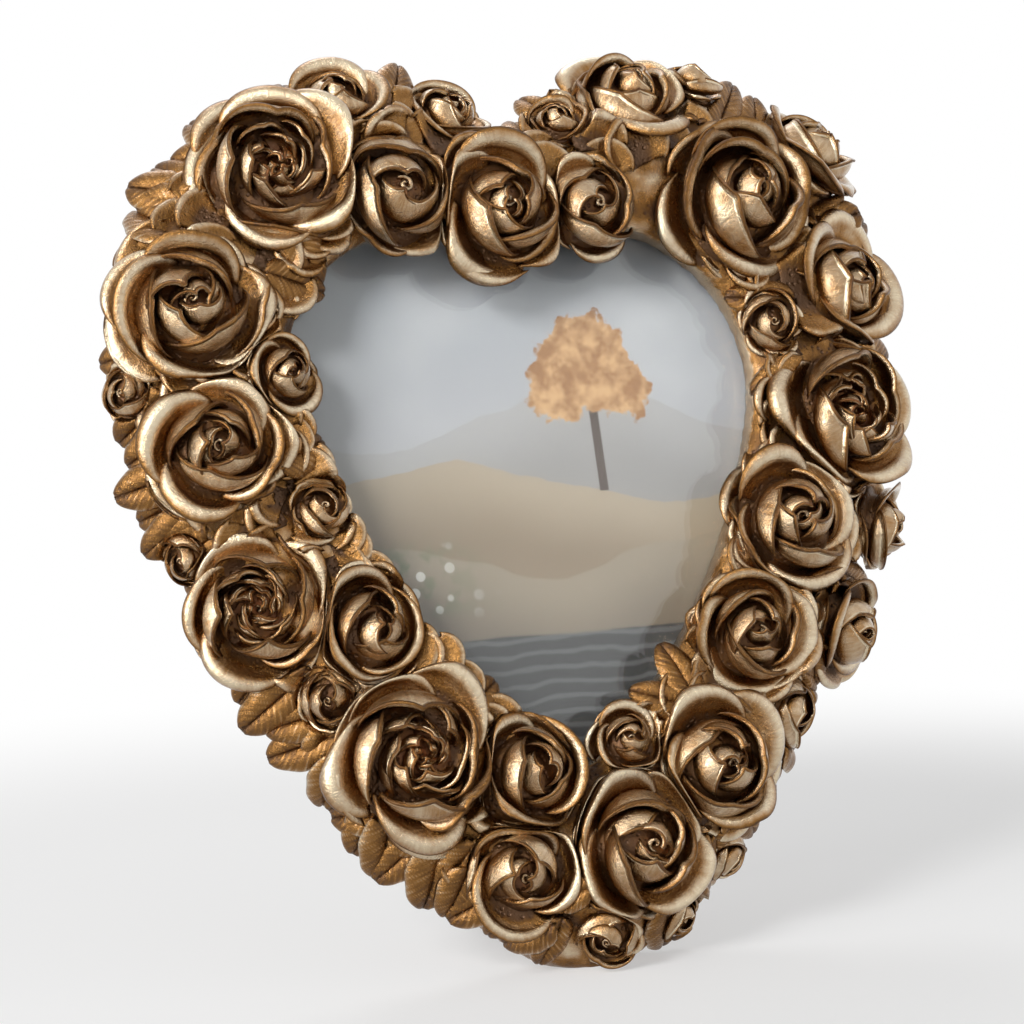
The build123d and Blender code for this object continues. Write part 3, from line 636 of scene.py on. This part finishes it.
def loose_petals(name):
    """Petals that fill the gaps between the blooms along a group of leaves."""
    rng = np.random.default_rng(sum(map(ord, name)))
    inner = "inner" in name
    fill = inner_fill if inner else outer_fill
    found = []
    for station in filler_places(name, filler_step):
        share = rng.uniform(*fill.shares)
        share *= 1 - tip_clearing * smooth(0.88, 0.97, abs(station))
        size = rng.uniform(*fill.sizes)
        slope = flank_slope if share > flank_share else front_slope
        petal = petal_skin(stray, 0, rng, 21)
        middle = petal.points - (0.6, 0, -0.05)
        points = settle(middle * size, station, share, rng.uniform(-70, 70) + 180 * inner, slope)
        # Loose petals are a little darker than the blooms: painted shade in the gaps between them.
        found.append(Skin(points, petal.quads, 0.85 * petal.relief, petal.brush * size))
    return found


def edge_leaves(name):
    """Small leaves that close the outer edge along a group of leaves."""
    rng = np.random.default_rng(sum(map(ord, name)) + 1)
    found = []
    if "inner" not in name:
        for station in filler_places(name, edge_step):
            near_tip = smooth(0.92, 0.98, abs(station))
            share = rng.uniform(0.90, 1.03) * (1 - tip_clearing * near_tip)
            length = rng.uniform(11, 15) * (1 - tip_shrink * near_tip)
            width = rng.uniform(0.62, 0.78) * length
            found.append(Leaf(station, share, rng.uniform(-50, 50), length, width, rng.uniform(30, 50)))
    if name == "leaves_top_right":
        found.extend(gap_leaves)
    return found


def put_in_scene(name, data):
    """A new object in the scene."""
    made = bpy.data.objects.new(name, data)
    bpy.context.scene.collection.objects.link(made)
    return made


def vertex_rows(mesh, field):
    """A field of a mesh's vertices as rows of three numbers."""
    values = np.empty(len(mesh.vertices) * 3)
    mesh.vertices.foreach_get(field, values)
    return values.reshape(-1, 3)


def stand_for(piece, node):
    """Puts a piece in the place of a node of the fixed frame."""
    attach(piece, "frame")
    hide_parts(node)


def cast_piece(name, node, skin, warmth):
    """A cast piece in antique gold, shaded smooth and clear of the floor, in the place of its node."""
    standing = stand_up(skin.points)
    standing[:, 2] = np.maximum(standing[:, 2], floor_clearance * MM)
    mesh = bpy.data.meshes.new(name)
    mesh.from_pydata(standing.tolist(), [], skin.quads.tolist())
    mesh.polygons.foreach_set("use_smooth", np.ones(len(mesh.polygons), bool))
    for key, values in (("relief", skin.relief), ("warmth", warmth), ("brush", skin.brush)):
        kind, field = ("FLOAT_VECTOR", "vector") if values.ndim == 2 else ("FLOAT", "value")
        mesh.attributes.new(key, kind, "POINT").data.foreach_set(field, values.astype(np.float32).ravel())
    mesh.materials.append(gold_material())
    mesh.update()
    stand_for(put_in_scene(name, mesh), node)


def feed(tree, socket, value):
    """Links a socket to another one, or sets it to a number or a colour."""
    if isinstance(value, bpy.types.NodeSocket):
        tree.links.new(value, socket)
    elif socket.type == "RGBA":
        socket.default_value = (*value[:3], 1)
    else:
        socket.default_value = value


def add(tree, kind, settings=None, **inputs):
    """A shader node with its settings and inputs."""
    made = tree.nodes.new(kind)
    for key, value in (settings or {}).items():
        setattr(made, key, value)
    for key, value in inputs.items():
        feed(tree, made.inputs[key.replace("_", " ")], value)
    return made


def add_in_order(tree, kind, settings, values):
    """A shader node whose first inputs are given in order."""
    made = add(tree, kind, settings)
    for socket, value in zip(made.inputs, values):
        feed(tree, socket, value)
    return made


def calculate(tree, operation, *values):
    """A math node on sockets or numbers."""
    return add_in_order(tree, "ShaderNodeMath", {"operation": operation}, values).outputs[0]


def spread(tree, value, low, high, start=0.0, end=1.0):
    """A smooth map of a value from one range to another."""
    settings = {"interpolation_type": "SMOOTHSTEP"}
    return add_in_order(tree, "ShaderNodeMapRange", settings, (value, low, high, start, end)).outputs[0]


def blend_colour(tree, factor, first, second):
    """A mix of two colours."""
    made = add(tree, "ShaderNodeMix", {"data_type": "RGBA"})
    # The colours' sockets follow those for other kinds of data
    for number, value in ((0, factor), (6, first), (7, second)):
        feed(tree, made.inputs[number], value)
    return made.outputs[2]


def product(tree, first, *others):
    """Several masks multiplied."""
    for other in others:
        first = calculate(tree, "MULTIPLY", first, other)
    return first


def grain(tree, vector, scale, detail=3.0, roughness=0.5):
    """Noise on some coordinates."""
    settings = {"Vector": vector, "Scale": scale, "Detail": detail, "Roughness": roughness}
    return add(tree, "ShaderNodeTexNoise", **settings).outputs[0]


def cells(tree, vector, scale):
    """Distance from the middle of scattered cells on some coordinates."""
    return add(tree, "ShaderNodeTexVoronoi", Vector=vector, Scale=scale).outputs["Distance"]


def seen_directly(tree):
    """1 where the camera, metal or glass sees a surface, and 0 where the surface only lights others."""
    path = tree.nodes.new("ShaderNodeLightPath").outputs
    seen = calculate(tree, "MAXIMUM", path["Is Camera Ray"], path["Is Glossy Ray"])
    return calculate(tree, "MAXIMUM", seen, path["Is Transmission Ray"])


def show_mix(tree, factor, first, second):
    """Shows a mix of two shaders as the material's surface."""
    values = (factor, first.outputs[0], second.outputs[0])
    made = add_in_order(tree, "ShaderNodeMixShader", {}, values)
    tree.links.new(made.outputs[0], tree.nodes["Material Output"].inputs["Surface"])


# Kinds of sockets in a node group
VALUE, COLOUR, VECTOR = "NodeSocketFloat", "NodeSocketColor", "NodeSocketVector"


def new_group(name, inputs, outputs):
    """A shader node group with named sockets, and its input and output nodes."""
    tree = bpy.data.node_groups.new(name, "ShaderNodeTree")
    for label, kind in inputs:
        tree.interface.new_socket(name=label, in_out="INPUT", socket_type=kind)
    for label, kind in outputs:
        tree.interface.new_socket(name=label, in_out="OUTPUT", socket_type=kind)
    return tree, tree.nodes.new("NodeGroupInput").outputs, tree.nodes.new("NodeGroupOutput").inputs


def object_place(tree):
    """Coordinates of the piece itself, in metres."""
    return tree.nodes.new("ShaderNodeTexCoord").outputs["Object"]


def patina_group():
    """Antique gold: a dark wash with painted shade in the crevices, gold faces with brush marks, and rubbed
    rims with a painted highlight.
    """
    tree, given, result = new_group(
        "Antique Patina",
        (("Relief", VALUE), ("Warmth", VALUE), ("Brush", VECTOR), ("Gold", COLOUR), ("Rim", COLOUR),
         ("Shade", COLOUR), ("Red", COLOUR)),
        (("Colour", COLOUR), ("Metal", VALUE), ("Roughness", VALUE), ("Coat", VALUE), ("Height", VALUE)),
    )
    place = object_place(tree)
    blotch = grain(tree, place, 230, 4, 0.6)
    speck = grain(tree, place, 1900, 4, 0.65)
    marks = grain(tree, given["Brush"], 1.8, 4, 0.65)
    uneven = calculate(tree, "MULTIPLY_ADD", blotch, 0.50, -0.25)
    level = calculate(tree, "ADD", given["Relief"], uneven)
    level = calculate(tree, "MULTIPLY_ADD", calculate(tree, "SUBTRACT", marks, 0.5), 0.30, level)
    pit = calculate(tree, "SUBTRACT", 1.0, spread(tree, cells(tree, place, 900), 0.16, 0.42))
    hollow = calculate(tree, "SUBTRACT", 1.0, spread(tree, given["Relief"], 0.12, 0.36))
    pit = product(tree, pit, hollow)
    level = calculate(tree, "MULTIPLY_ADD", pit, -0.30, level)
    # Low levels take the dark wash, painted shade as well; high levels take the rim colour, rubbed gold
    # with a painted highlight.
    deep = blend_colour(tree, given["Warmth"], given["Shade"], given["Red"])
    face = blend_colour(tree, spread(tree, level, 0.10, 0.55), deep, given["Gold"])
    finish = blend_colour(tree, spread(tree, level, 0.42, 1.0), face, given["Rim"])
    tree.links.new(finish, result["Colour"])
    tree.links.new(spread(tree, level, 0.0, 0.40, 0.5, 1.0), result["Metal"])
    tree.links.new(spread(tree, level, 0.28, 0.75, 0.0, 1.0), result["Coat"])
    gloss = spread(tree, level, 0.15, 0.9, 0.32, 0.15)
    gloss = calculate(tree, "MULTIPLY_ADD", calculate(tree, "SUBTRACT", speck, 0.5), 0.25, gloss)
    tree.links.new(gloss, result["Roughness"])
    bumps = calculate(tree, "MULTIPLY_ADD", speck, 0.65, calculate(tree, "MULTIPLY", marks, 0.35))
    tree.links.new(calculate(tree, "MULTIPLY_ADD", pit, -0.6, bumps), result["Height"])
    return tree


def worn_metal_group():
    """Rolled metal: fine scratches, dull spots and slightly darker patches."""
    tree, given, result = new_group(
        "Rolled Metal", (("Colour", COLOUR), ("Dull", COLOUR), ("Scale", VALUE)),
        (("Colour", COLOUR), ("Roughness", VALUE), ("Height", VALUE)),
    )
    place = object_place(tree)
    stretched = add(tree, "ShaderNodeMapping", Vector=place, Scale=(1.0, 0.08, 0.08))
    scratch = grain(tree, stretched.outputs[0], given["Scale"], 4)
    spots = grain(tree, place, 420, 4, 0.6)
    finish = blend_colour(tree, spread(tree, spots, 0.40, 0.72), given["Colour"], given["Dull"])
    tree.links.new(finish, result["Colour"])
    tree.links.new(spread(tree, spots, 0.3, 0.75, 0.26, 0.48), result["Roughness"])
    tree.links.new(scratch, result["Height"])
    return tree


def fibre_group():
    """Short fibres: pale and dark flecks with a soft uneven nap."""
    tree, given, result = new_group(
        "Short Fibre", (("Colour", COLOUR), ("Fleck", COLOUR), ("Scale", VALUE)),
        (("Colour", COLOUR), ("Roughness", VALUE), ("Height", VALUE)),
    )
    place = object_place(tree)
    hairs = grain(tree, place, given["Scale"], 5, 0.75)
    nap = grain(tree, place, 70, 3, 0.5)
    flecks = product(tree, spread(tree, hairs, 0.48, 0.72), spread(tree, nap, 0.25, 0.75, 0.45, 1.0))
    tree.links.new(blend_colour(tree, flecks, given["Colour"], given["Fleck"]), result["Colour"])
    tree.links.new(spread(tree, nap, 0.2, 0.8, 0.75, 0.95), result["Roughness"])
    tree.links.new(hairs, result["Height"])
    return tree


def new_material(name):
    """A new material, its node tree and its Principled shader."""
    material = bpy.data.materials.new(name)
    material.use_nodes = True
    tree = material.node_tree
    return material, tree, tree.nodes["Principled BSDF"]


def raise_bumps(tree, shader, height, distance, strength=1.0):
    """A bump of some height on a shader."""
    made = add(tree, "ShaderNodeBump", Strength=strength, Distance=distance, Height=height)
    tree.links.new(made.outputs[0], shader.inputs["Normal"])


# Which of a finish's outputs feeds which input of the shader
finish_sockets = {
    "Colour": "Base Color",
    "Metal": "Metallic",
    "Coat": "Coat Weight",
    "Roughness": "Roughness",
}


def apply_finish(tree, shader, name, maker, depth, strength, **values):
    """Puts a shared finish on a shader, with its own values and bumps. The first use builds the finish."""
    group = bpy.data.node_groups.get(name) or maker()
    finish = add(tree, "ShaderNodeGroup", {"node_tree": group}, **values).outputs
    for output, socket in finish_sockets.items():
        if output in finish:
            tree.links.new(finish[output], shader.inputs[socket])
    raise_bumps(tree, shader, finish["Height"], depth, strength)


def named_attribute(tree, name, output):
    """One of the mesh's own attributes."""
    made = add(tree, "ShaderNodeAttribute", {"attribute_name": name})
    return made.outputs[output]


def gold_material():
    """Antique gold of the blooms, leaves and rail."""
    known = bpy.data.materials.get("patina_gold")
    if known:
        return known
    colours = bpy.context.scene.rose_frame_colours
    material, tree, shader = new_material("patina_gold")
    shader.inputs["Coat Roughness"].default_value = 0.24
    apply_finish(
        tree, shader, "Antique Patina", patina_group, 0.35 * MM, 0.85,
        Relief=named_attribute(tree, "relief", "Fac"),
        Warmth=named_attribute(tree, "warmth", "Fac"),
        Brush=named_attribute(tree, "brush", "Vector"),
        Gold=colours.gold, Rim=colours.rim_highlight_gold, Shade=colours.shade, Red=colours.red_wash,
    )
    return material


def metal_material(name, colour):
    """Rolled metal of the hinge, buttons, rivets and screws."""
    material, tree, shader = new_material(name)
    shader.inputs["Metallic"].default_value = 1.0
    dull = [0.55 * part for part in colour]
    apply_finish(tree, shader, "Rolled Metal", worn_metal_group, 0.05 * MM, 0.5,
                 Colour=colour, Dull=dull, Scale=2600.0)
    return material


def fibre_material(name, colour, fleck, scale, sheen, depth):
    """Velvet board or grey card."""
    material, tree, shader = new_material(name)
    shader.inputs["Sheen Weight"].default_value = sheen
    shader.inputs["Sheen Roughness"].default_value = 0.4
    shader.inputs["Specular IOR Level"].default_value = 0.25
    apply_finish(tree, shader, "Short Fibre", fibre_group, depth, 0.6,
                 Colour=colour, Fleck=fleck, Scale=scale)
    return material


def glass_material():
    """Clear glass that lets the light through to the picture."""
    material, tree, shader = new_material("pane_glass")
    shader.inputs["Base Color"].default_value = (0.97, 0.985, 0.98, 1)
    shader.inputs["Transmission Weight"].default_value = 1.0
    shader.inputs["IOR"].default_value = 1.45
    smear = grain(tree, object_place(tree), 40, 3, 0.5)
    tree.links.new(spread(tree, smear, 0.35, 0.8, 0.0, 0.05), shader.inputs["Roughness"])
    shadow = tree.nodes.new("ShaderNodeLightPath").outputs["Is Shadow Ray"]
    show_mix(tree, shadow, shader, add(tree, "ShaderNodeBsdfTransparent"))
    return material


def print_material():
    """A plain landscape print: pale sky, sand hills, a russet tree and dark water."""
    material, tree, shader = new_material("landscape_print")
    place = object_place(tree)
    split = add(tree, "ShaderNodeSeparateXYZ", Vector=place)
    across = calculate(tree, "MULTIPLY", split.outputs[0], 1 / MM)
    upward = tuple(plane_axes[1] / MM)
    rise = add_in_order(tree, "ShaderNodeVectorMath", {"operation": "DOT_PRODUCT"}, (place, upward))
    start = float(hinge_place @ plane_axes[1]) / MM - hinge_level
    up = calculate(tree, "SUBTRACT", rise.outputs["Value"], start)
    ripple = calculate(tree, "SUBTRACT", grain(tree, place, 45, 4, 0.55), 0.5)
    tuft = calculate(tree, "SUBTRACT", grain(tree, place, 260, 4, 0.6), 0.5)

    sky = blend_colour(tree, spread(tree, up, -30, 30), (0.36, 0.355, 0.365), (0.29, 0.305, 0.325))
    cloud = spread(tree, grain(tree, place, 28, 4, 0.5), 0.45, 0.75, 0.0, 0.7)
    picture = blend_colour(tree, cloud, sky, (0.41, 0.412, 0.42))
    hills = (
        (-6.0, 5.0, 13.0, 0.6, (0.245, 0.235, 0.228), (0.315, 0.308, 0.303)),
        (-19.0, 4.5, 17.0, 2.7, (0.205, 0.155, 0.105), (0.315, 0.258, 0.19)),
        (-33.0, 3.5, 11.0, 4.4, (0.155, 0.125, 0.093), (0.245, 0.202, 0.15)),
    )
    for crest, swell, length, phase, low, high in hills:
        wave = calculate(tree, "SINE", calculate(tree, "MULTIPLY_ADD", across, 1 / length, phase))
        ridge = calculate(tree, "MULTIPLY_ADD", wave, swell, crest)
        ridge = calculate(tree, "MULTIPLY_ADD", ripple, 6.0, ridge)
        below = calculate(tree, "SUBTRACT", ridge, up)
        ground = blend_colour(tree, spread(tree, below, 0, 16), high, low)
        picture = blend_colour(tree, spread(tree, below, -0.25, 0.25), picture, ground)

    off_trunk = calculate(tree, "ABSOLUTE", calculate(tree, "SUBTRACT", across, 15.0))
    trunk = product(tree, spread(tree, off_trunk, 0.7, 1.1, 1, 0), spread(tree, up, -21.0, -20.6),
                    spread(tree, up, 0, 3, 1, 0))
    picture = blend_colour(tree, trunk, picture, (0.07, 0.05, 0.04))
    mottled = spread(tree, tuft, -0.16, 0.16)
    foliage = blend_colour(tree, mottled, (0.26, 0.123, 0.042), (0.50, 0.305, 0.145))
    for middle_across, middle_up, radius in ((15.0, 4.0, 9.5), (8.5, -1.5, 6.5), (21.5, -1.0, 6.0)):
        apart = calculate(tree, "SUBTRACT", across, middle_across)
        above = calculate(tree, "SUBTRACT", up, middle_up)
        squares = calculate(tree, "ADD", product(tree, apart, apart), product(tree, above, above))
        far = calculate(tree, "SQRT", squares)
        far = calculate(tree, "MULTIPLY_ADD", tuft, 9.0, far)
        picture = blend_colour(tree, spread(tree, far, radius - 0.5, radius + 0.5, 1, 0), picture, foliage)

    water_level = calculate(tree, "MULTIPLY_ADD", ripple, 3.0, -47.0)
    in_water = spread(tree, calculate(tree, "SUBTRACT", water_level, up), -0.3, 0.3)
    wavelet = calculate(tree, "MULTIPLY_ADD", ripple, 14.0, calculate(tree, "MULTIPLY", up, 2.2))
    glint = spread(tree, calculate(tree, "SINE", wavelet), 0.1, 1.0, 0.0, 0.6)
    water = blend_colour(tree, glint, (0.042, 0.042, 0.042), (0.13, 0.132, 0.133))
    picture = blend_colour(tree, in_water, picture, water)

    meadow = product(tree, spread(tree, across, -36, -6, 1, 0), spread(tree, up, -44, -40),
                     spread(tree, up, -33, -26, 1, 0))
    grass = product(tree, meadow, spread(tree, tuft, -0.05, 0.08))
    picture = blend_colour(tree, grass, picture, (0.11, 0.135, 0.072))
    flower = product(tree, meadow, spread(tree, cells(tree, place, 260), 0.22, 0.30, 1, 0))
    picture = blend_colour(tree, flower, picture, (0.70, 0.69, 0.65))
    tree.links.new(picture, shader.inputs["Base Color"])
    paper = grain(tree, place, 2200, 2, 0.5)
    tree.links.new(spread(tree, paper, 0.2, 0.8, 0.42, 0.58), shader.inputs["Roughness"])
    raise_bumps(tree, shader, paper, 0.01 * MM, 0.12)
    return material


def dress_node(node, material):
    """Gives a node of the fixed frame its finish."""
    slots = frame["nodes"][node].data.materials
    slots.clear()
    slots.append(material)


class RoseFrameOperator:
    """What every operator here shares: it builds its pieces and reports that it is done."""

    bl_options = {"REGISTER", "UNDO"}

    def execute(self, context):
        self.build(context.scene.rose_frame_sizes, context.scene.rose_frame_colours)
        return {"FINISHED"}


class ROSEFRAME_OT_rail(RoseFrameOperator, bpy.types.Operator):
    """Build the cast rail with its uneven, washed surface"""

    bl_idname = "rose_frame.rail"
    bl_label = "Cast Rail"

    def build(self, sizes, colours):
        blank = put_in_scene("rail_blank", frame["nodes"]["frame_rail"].data.copy())
        remesh = blank.modifiers.new("grain", "REMESH")
        remesh.mode = "VOXEL"
        remesh.voxel_size = sizes.rail_grain
        soften = blank.modifiers.new("soften", "SMOOTH")
        soften.iterations = 2
        depsgraph = bpy.context.evaluated_depsgraph_get()
        mesh = bpy.data.meshes.new_from_object(blank.evaluated_get(depsgraph))
        bpy.data.objects.remove(blank)
        points, normals = vertex_rows(mesh, "co"), vertex_rows(mesh, "normal")
        flat = lie_down(points)
        front = normals @ plane_axes[2]
        rough = np.array([noise.fractal(Vector(point * 160), 1.0, 2.0, 3) for point in points])
        uneven = smooth(0.2, 0.6, front) * smooth(skirt_height, skirt_height + 1.5, flat[:, 2])
        points = points + normals * (rough * uneven * sizes.rail_relief)[:, None]
        lip = rail_thickness - lip_bevel
        inner = smooth(lip + 1, lip, flat[:, 2]) * smooth(glass_front - 0.5, glass_front + 0.3, flat[:, 2])
        inner = inner * (front < 0.35)
        relief = 0.34 + 0.45 * rough * uneven + 0.30 * inner
        quads = np.empty(len(mesh.polygons) * 4, np.int64)
        mesh.polygons.foreach_get("vertices", quads)
        bpy.data.meshes.remove(mesh)
        skin = Skin(lie_down(points), quads.reshape(-1, 4), np.clip(relief, 0, 1), flat * (0.35, 0.35, 2.0))
        cast_piece("cast_rail", "frame_rail", skin, np.zeros(len(points)))


class ROSEFRAME_OT_blooms(RoseFrameOperator, bpy.types.Operator):
    """Build every rose and rosebud from its layers of petals"""

    bl_idname = "rose_frame.blooms"
    bl_label = "Roses and Buds"

    def build(self, sizes, colours):
        for bloom in blooms:
            skin, warmth = bloom_skin(bloom, sizes.petal_rows)
            cast_piece(f"cast_{bloom.name}", bloom.name, skin, warmth)


class ROSEFRAME_OT_leaves(RoseFrameOperator, bpy.types.Operator):
    """Build the groups of veined leaves between the blooms"""

    bl_idname = "rose_frame.leaves"
    bl_label = "Leaves"

    def build(self, sizes, colours):
        for name, leaves in leaf_groups.items():
            rng = np.random.default_rng(len(name))
            skins = [leaf_skin(leaf, sizes, rng) for leaf in (*leaves, *edge_leaves(name))]
            skin = gather(skins + loose_petals(name))
            cast_piece(f"cast_{name}", name, skin, np.zeros(len(skin.points)))


class ROSEFRAME_OT_glazing(RoseFrameOperator, bpy.types.Operator):
    """Finish the glass, the picture and the card behind it"""

    bl_idname = "rose_frame.glazing"
    bl_label = "Glass and Picture"

    def build(self, sizes, colours):
        glass = frame["nodes"]["glass_pane"].data
        points = lie_down(vertex_rows(glass, "co"))
        points[:, 2] = np.where(points[:, 2] > points[:, 2].mean(), points[:, 2], points[:, 2] + pane_gap)
        pane = put_in_scene("pane", glass.copy())
        pane.data.vertices.foreach_set("co", stand_up(points).ravel())
        pane.data.materials.clear()
        pane.data.materials.append(glass_material())
        stand_for(pane, "glass_pane")
        dress_node("photo_print", print_material())
        fleck = (0.42, 0.40, 0.37)
        card = fibre_material("pressed_card", colours.card, fleck, 1800.0, 0.0, 0.05 * MM)
        dress_node("backing_card", card)


class ROSEFRAME_OT_easel_back(RoseFrameOperator, bpy.types.Operator):
    """Finish the velvet back panel and its easel leg"""

    bl_idname = "rose_frame.easel_back"
    bl_label = "Velvet Back"

    def build(self, sizes, colours):
        fleck = (0.045, 0.044, 0.046)
        velvet = fibre_material("velvet_board", colours.velvet, fleck, 2400.0, 0.6, 0.15 * MM)
        for node in ("back_panel", "easel_leg"):
            dress_node(node, velvet)


class ROSEFRAME_OT_fittings(RoseFrameOperator, bpy.types.Operator):
    """Finish the hinge, rivets, turn buttons and screws"""

    bl_idname = "rose_frame.fittings"
    bl_label = "Hinge and Buttons"

    def build(self, sizes, colours):
        zinc = metal_material("rolled_zinc", colours.zinc)
        brass = metal_material("turned_brass", colours.brass)
        for node in frame["nodes"]:
            if node.startswith(("hinge_", "plate_rivets", "leaf_rivets", "turn_button_")):
                dress_node(node, zinc)
        dress_node("button_screws", brass)


# Where the camera looks from, as degrees round the frame and above the floor, and its slight roll
camera_azimuth = math.radians(-24.2)
camera_elevation = math.radians(5.0)
camera_roll = math.radians(-1.4)
# What it looks at, and the picture's shift from there in widths of the picture
aim_point = Vector((-0.84, 20.7, 83.15)) * MM
aim_shift = (-17 / 1024, -13.5 / 1024)

# The white sky's strength where it only lights the frame, and the plain white in the floor near the frame
sky_light = 0.24
floor_glow = 0.45


class ROSEFRAME_OT_stage(RoseFrameOperator, bpy.types.Operator):
    """Build the pale floor, the studio light and the camera"""

    bl_idname = "rose_frame.stage"
    bl_label = "Stage"

    def build(self, sizes, colours):
        self.build_floor(sizes, colours)
        self.build_world()
        lamps = (
            ("key_lamp", (-1.35, -0.95, 1.05), 0.6, 18.5),
            ("side_lamp", (-1.5, -0.6, 0.35), 0.8, 13.5),
            ("fill_lamp", (1.2, -0.9, 0.7), 0.7, 1.0),
            ("back_lamp", (0.2, 1.2, 1.5), 0.8, 6.0),
        )
        for name, place, size, power in lamps:
            self.build_lamp(name, Vector(place), size, power)
        self.build_camera(sizes)
        bpy.context.scene.view_settings.view_transform = "Standard"

    def build_floor(self, sizes, colours):
        half = sizes.floor_size / 2
        corners = [(-half, -half, 0), (half, -half, 0), (half, half, 0), (-half, half, 0)]
        mesh = bpy.data.meshes.new("floor")
        mesh.from_pydata(corners, [], [(0, 1, 2, 3)])
        material, tree, shader = new_material("pale_floor")
        place = object_place(tree)
        pale = tuple(colours.floor)
        shaded = [0.985 * part for part in pale]
        speckled = blend_colour(tree, grain(tree, place, 12), pale, shaded)
        tree.links.new(speckled, shader.inputs["Base Color"])
        shader.inputs["Roughness"].default_value = 0.9
        far = add_in_order(tree, "ShaderNodeVectorMath", {"operation": "LENGTH"}, (place,)).outputs["Value"]
        faded = spread(tree, far, sizes.shadow_reach / 2, sizes.shadow_reach, floor_glow, 1.0)
        white = add(tree, "ShaderNodeEmission", Color=(1, 1, 1), Strength=1.0)
        show_mix(tree, product(tree, seen_directly(tree), faded), shader, white)
        mesh.materials.append(material)
        put_in_scene("floor", mesh)

    def build_world(self):
        world = bpy.data.worlds.new("studio")
        world.use_nodes = True
        tree = world.node_tree
        sky = tree.nodes["Background"].inputs
        sky["Color"].default_value = (1, 1, 1, 1)
        strength = calculate(tree, "MULTIPLY_ADD", seen_directly(tree), 1 - sky_light, sky_light)
        tree.links.new(strength, sky["Strength"])
        bpy.context.scene.world = world

    def build_lamp(self, name, place, size, power):
        data = bpy.data.lights.new(name, "AREA")
        data.shape = "DISK"
        data.size = size
        data.energy = power
        lamp = put_in_scene(name, data)
        lamp.location = place
        lamp.rotation_euler = (aim_point - place).to_track_quat("-Z", "Y").to_euler()

    def build_camera(self, sizes):
        data = bpy.data.cameras.new("camera")
        data.lens = sizes.camera_lens
        data.shift_x, data.shift_y = aim_shift
        camera = put_in_scene("camera", data)
        toward = Vector((
            math.sin(camera_azimuth) * math.cos(camera_elevation),
            -math.cos(camera_azimuth) * math.cos(camera_elevation),
            math.sin(camera_elevation),
        ))
        camera.location = aim_point + toward * sizes.camera_distance
        level = (-toward).to_track_quat("-Z", "Y").to_matrix().to_4x4()
        turn = level @ Matrix.Rotation(camera_roll, 4, "Z")
        camera.rotation_euler = turn.to_euler()
        bpy.context.scene.camera = camera


class ROSEFRAME_PT_pieces(bpy.types.Panel):
    """Lists the pieces of the frame in the sidebar"""

    bl_idname = "ROSEFRAME_PT_pieces"
    bl_label = "Rose Photo Frame"
    bl_space_type = "VIEW_3D"
    bl_region_type = "UI"
    bl_category = "Rose Frame"

    def draw(self, context):
        layout = self.layout
        for operator in operators:
            layout.operator(operator.bl_idname)
        for group in (context.scene.rose_frame_sizes, context.scene.rose_frame_colours):
            column = layout.column()
            for key in group.__annotations__:
                column.prop(group, key)


operators = (
    ROSEFRAME_OT_rail,
    ROSEFRAME_OT_blooms,
    ROSEFRAME_OT_leaves,
    ROSEFRAME_OT_glazing,
    ROSEFRAME_OT_easel_back,
    ROSEFRAME_OT_fittings,
    ROSEFRAME_OT_stage,
)
classes = (RoseFrameSizes, RoseFrameColours, *operators, ROSEFRAME_PT_pieces)


def register():
    """Adds the classes and the scene's settings."""
    for entry in classes:
        bpy.utils.register_class(entry)
    bpy.types.Scene.rose_frame_sizes = bpy.props.PointerProperty(type=RoseFrameSizes)
    bpy.types.Scene.rose_frame_colours = bpy.props.PointerProperty(type=RoseFrameColours)


def unregister():
    """Removes what register added."""
    del bpy.types.Scene.rose_frame_colours
    del bpy.types.Scene.rose_frame_sizes
    for entry in reversed(classes):
        bpy.utils.unregister_class(entry)


def main():
    """Builds every piece in order."""
    register()
    bpy.ops.rose_frame.rail()
    bpy.ops.rose_frame.blooms()
    bpy.ops.rose_frame.leaves()
    bpy.ops.rose_frame.glazing()
    bpy.ops.rose_frame.easel_back()
    bpy.ops.rose_frame.fittings()
    bpy.ops.rose_frame.stage()


if __name__ == "__main__":
    main()
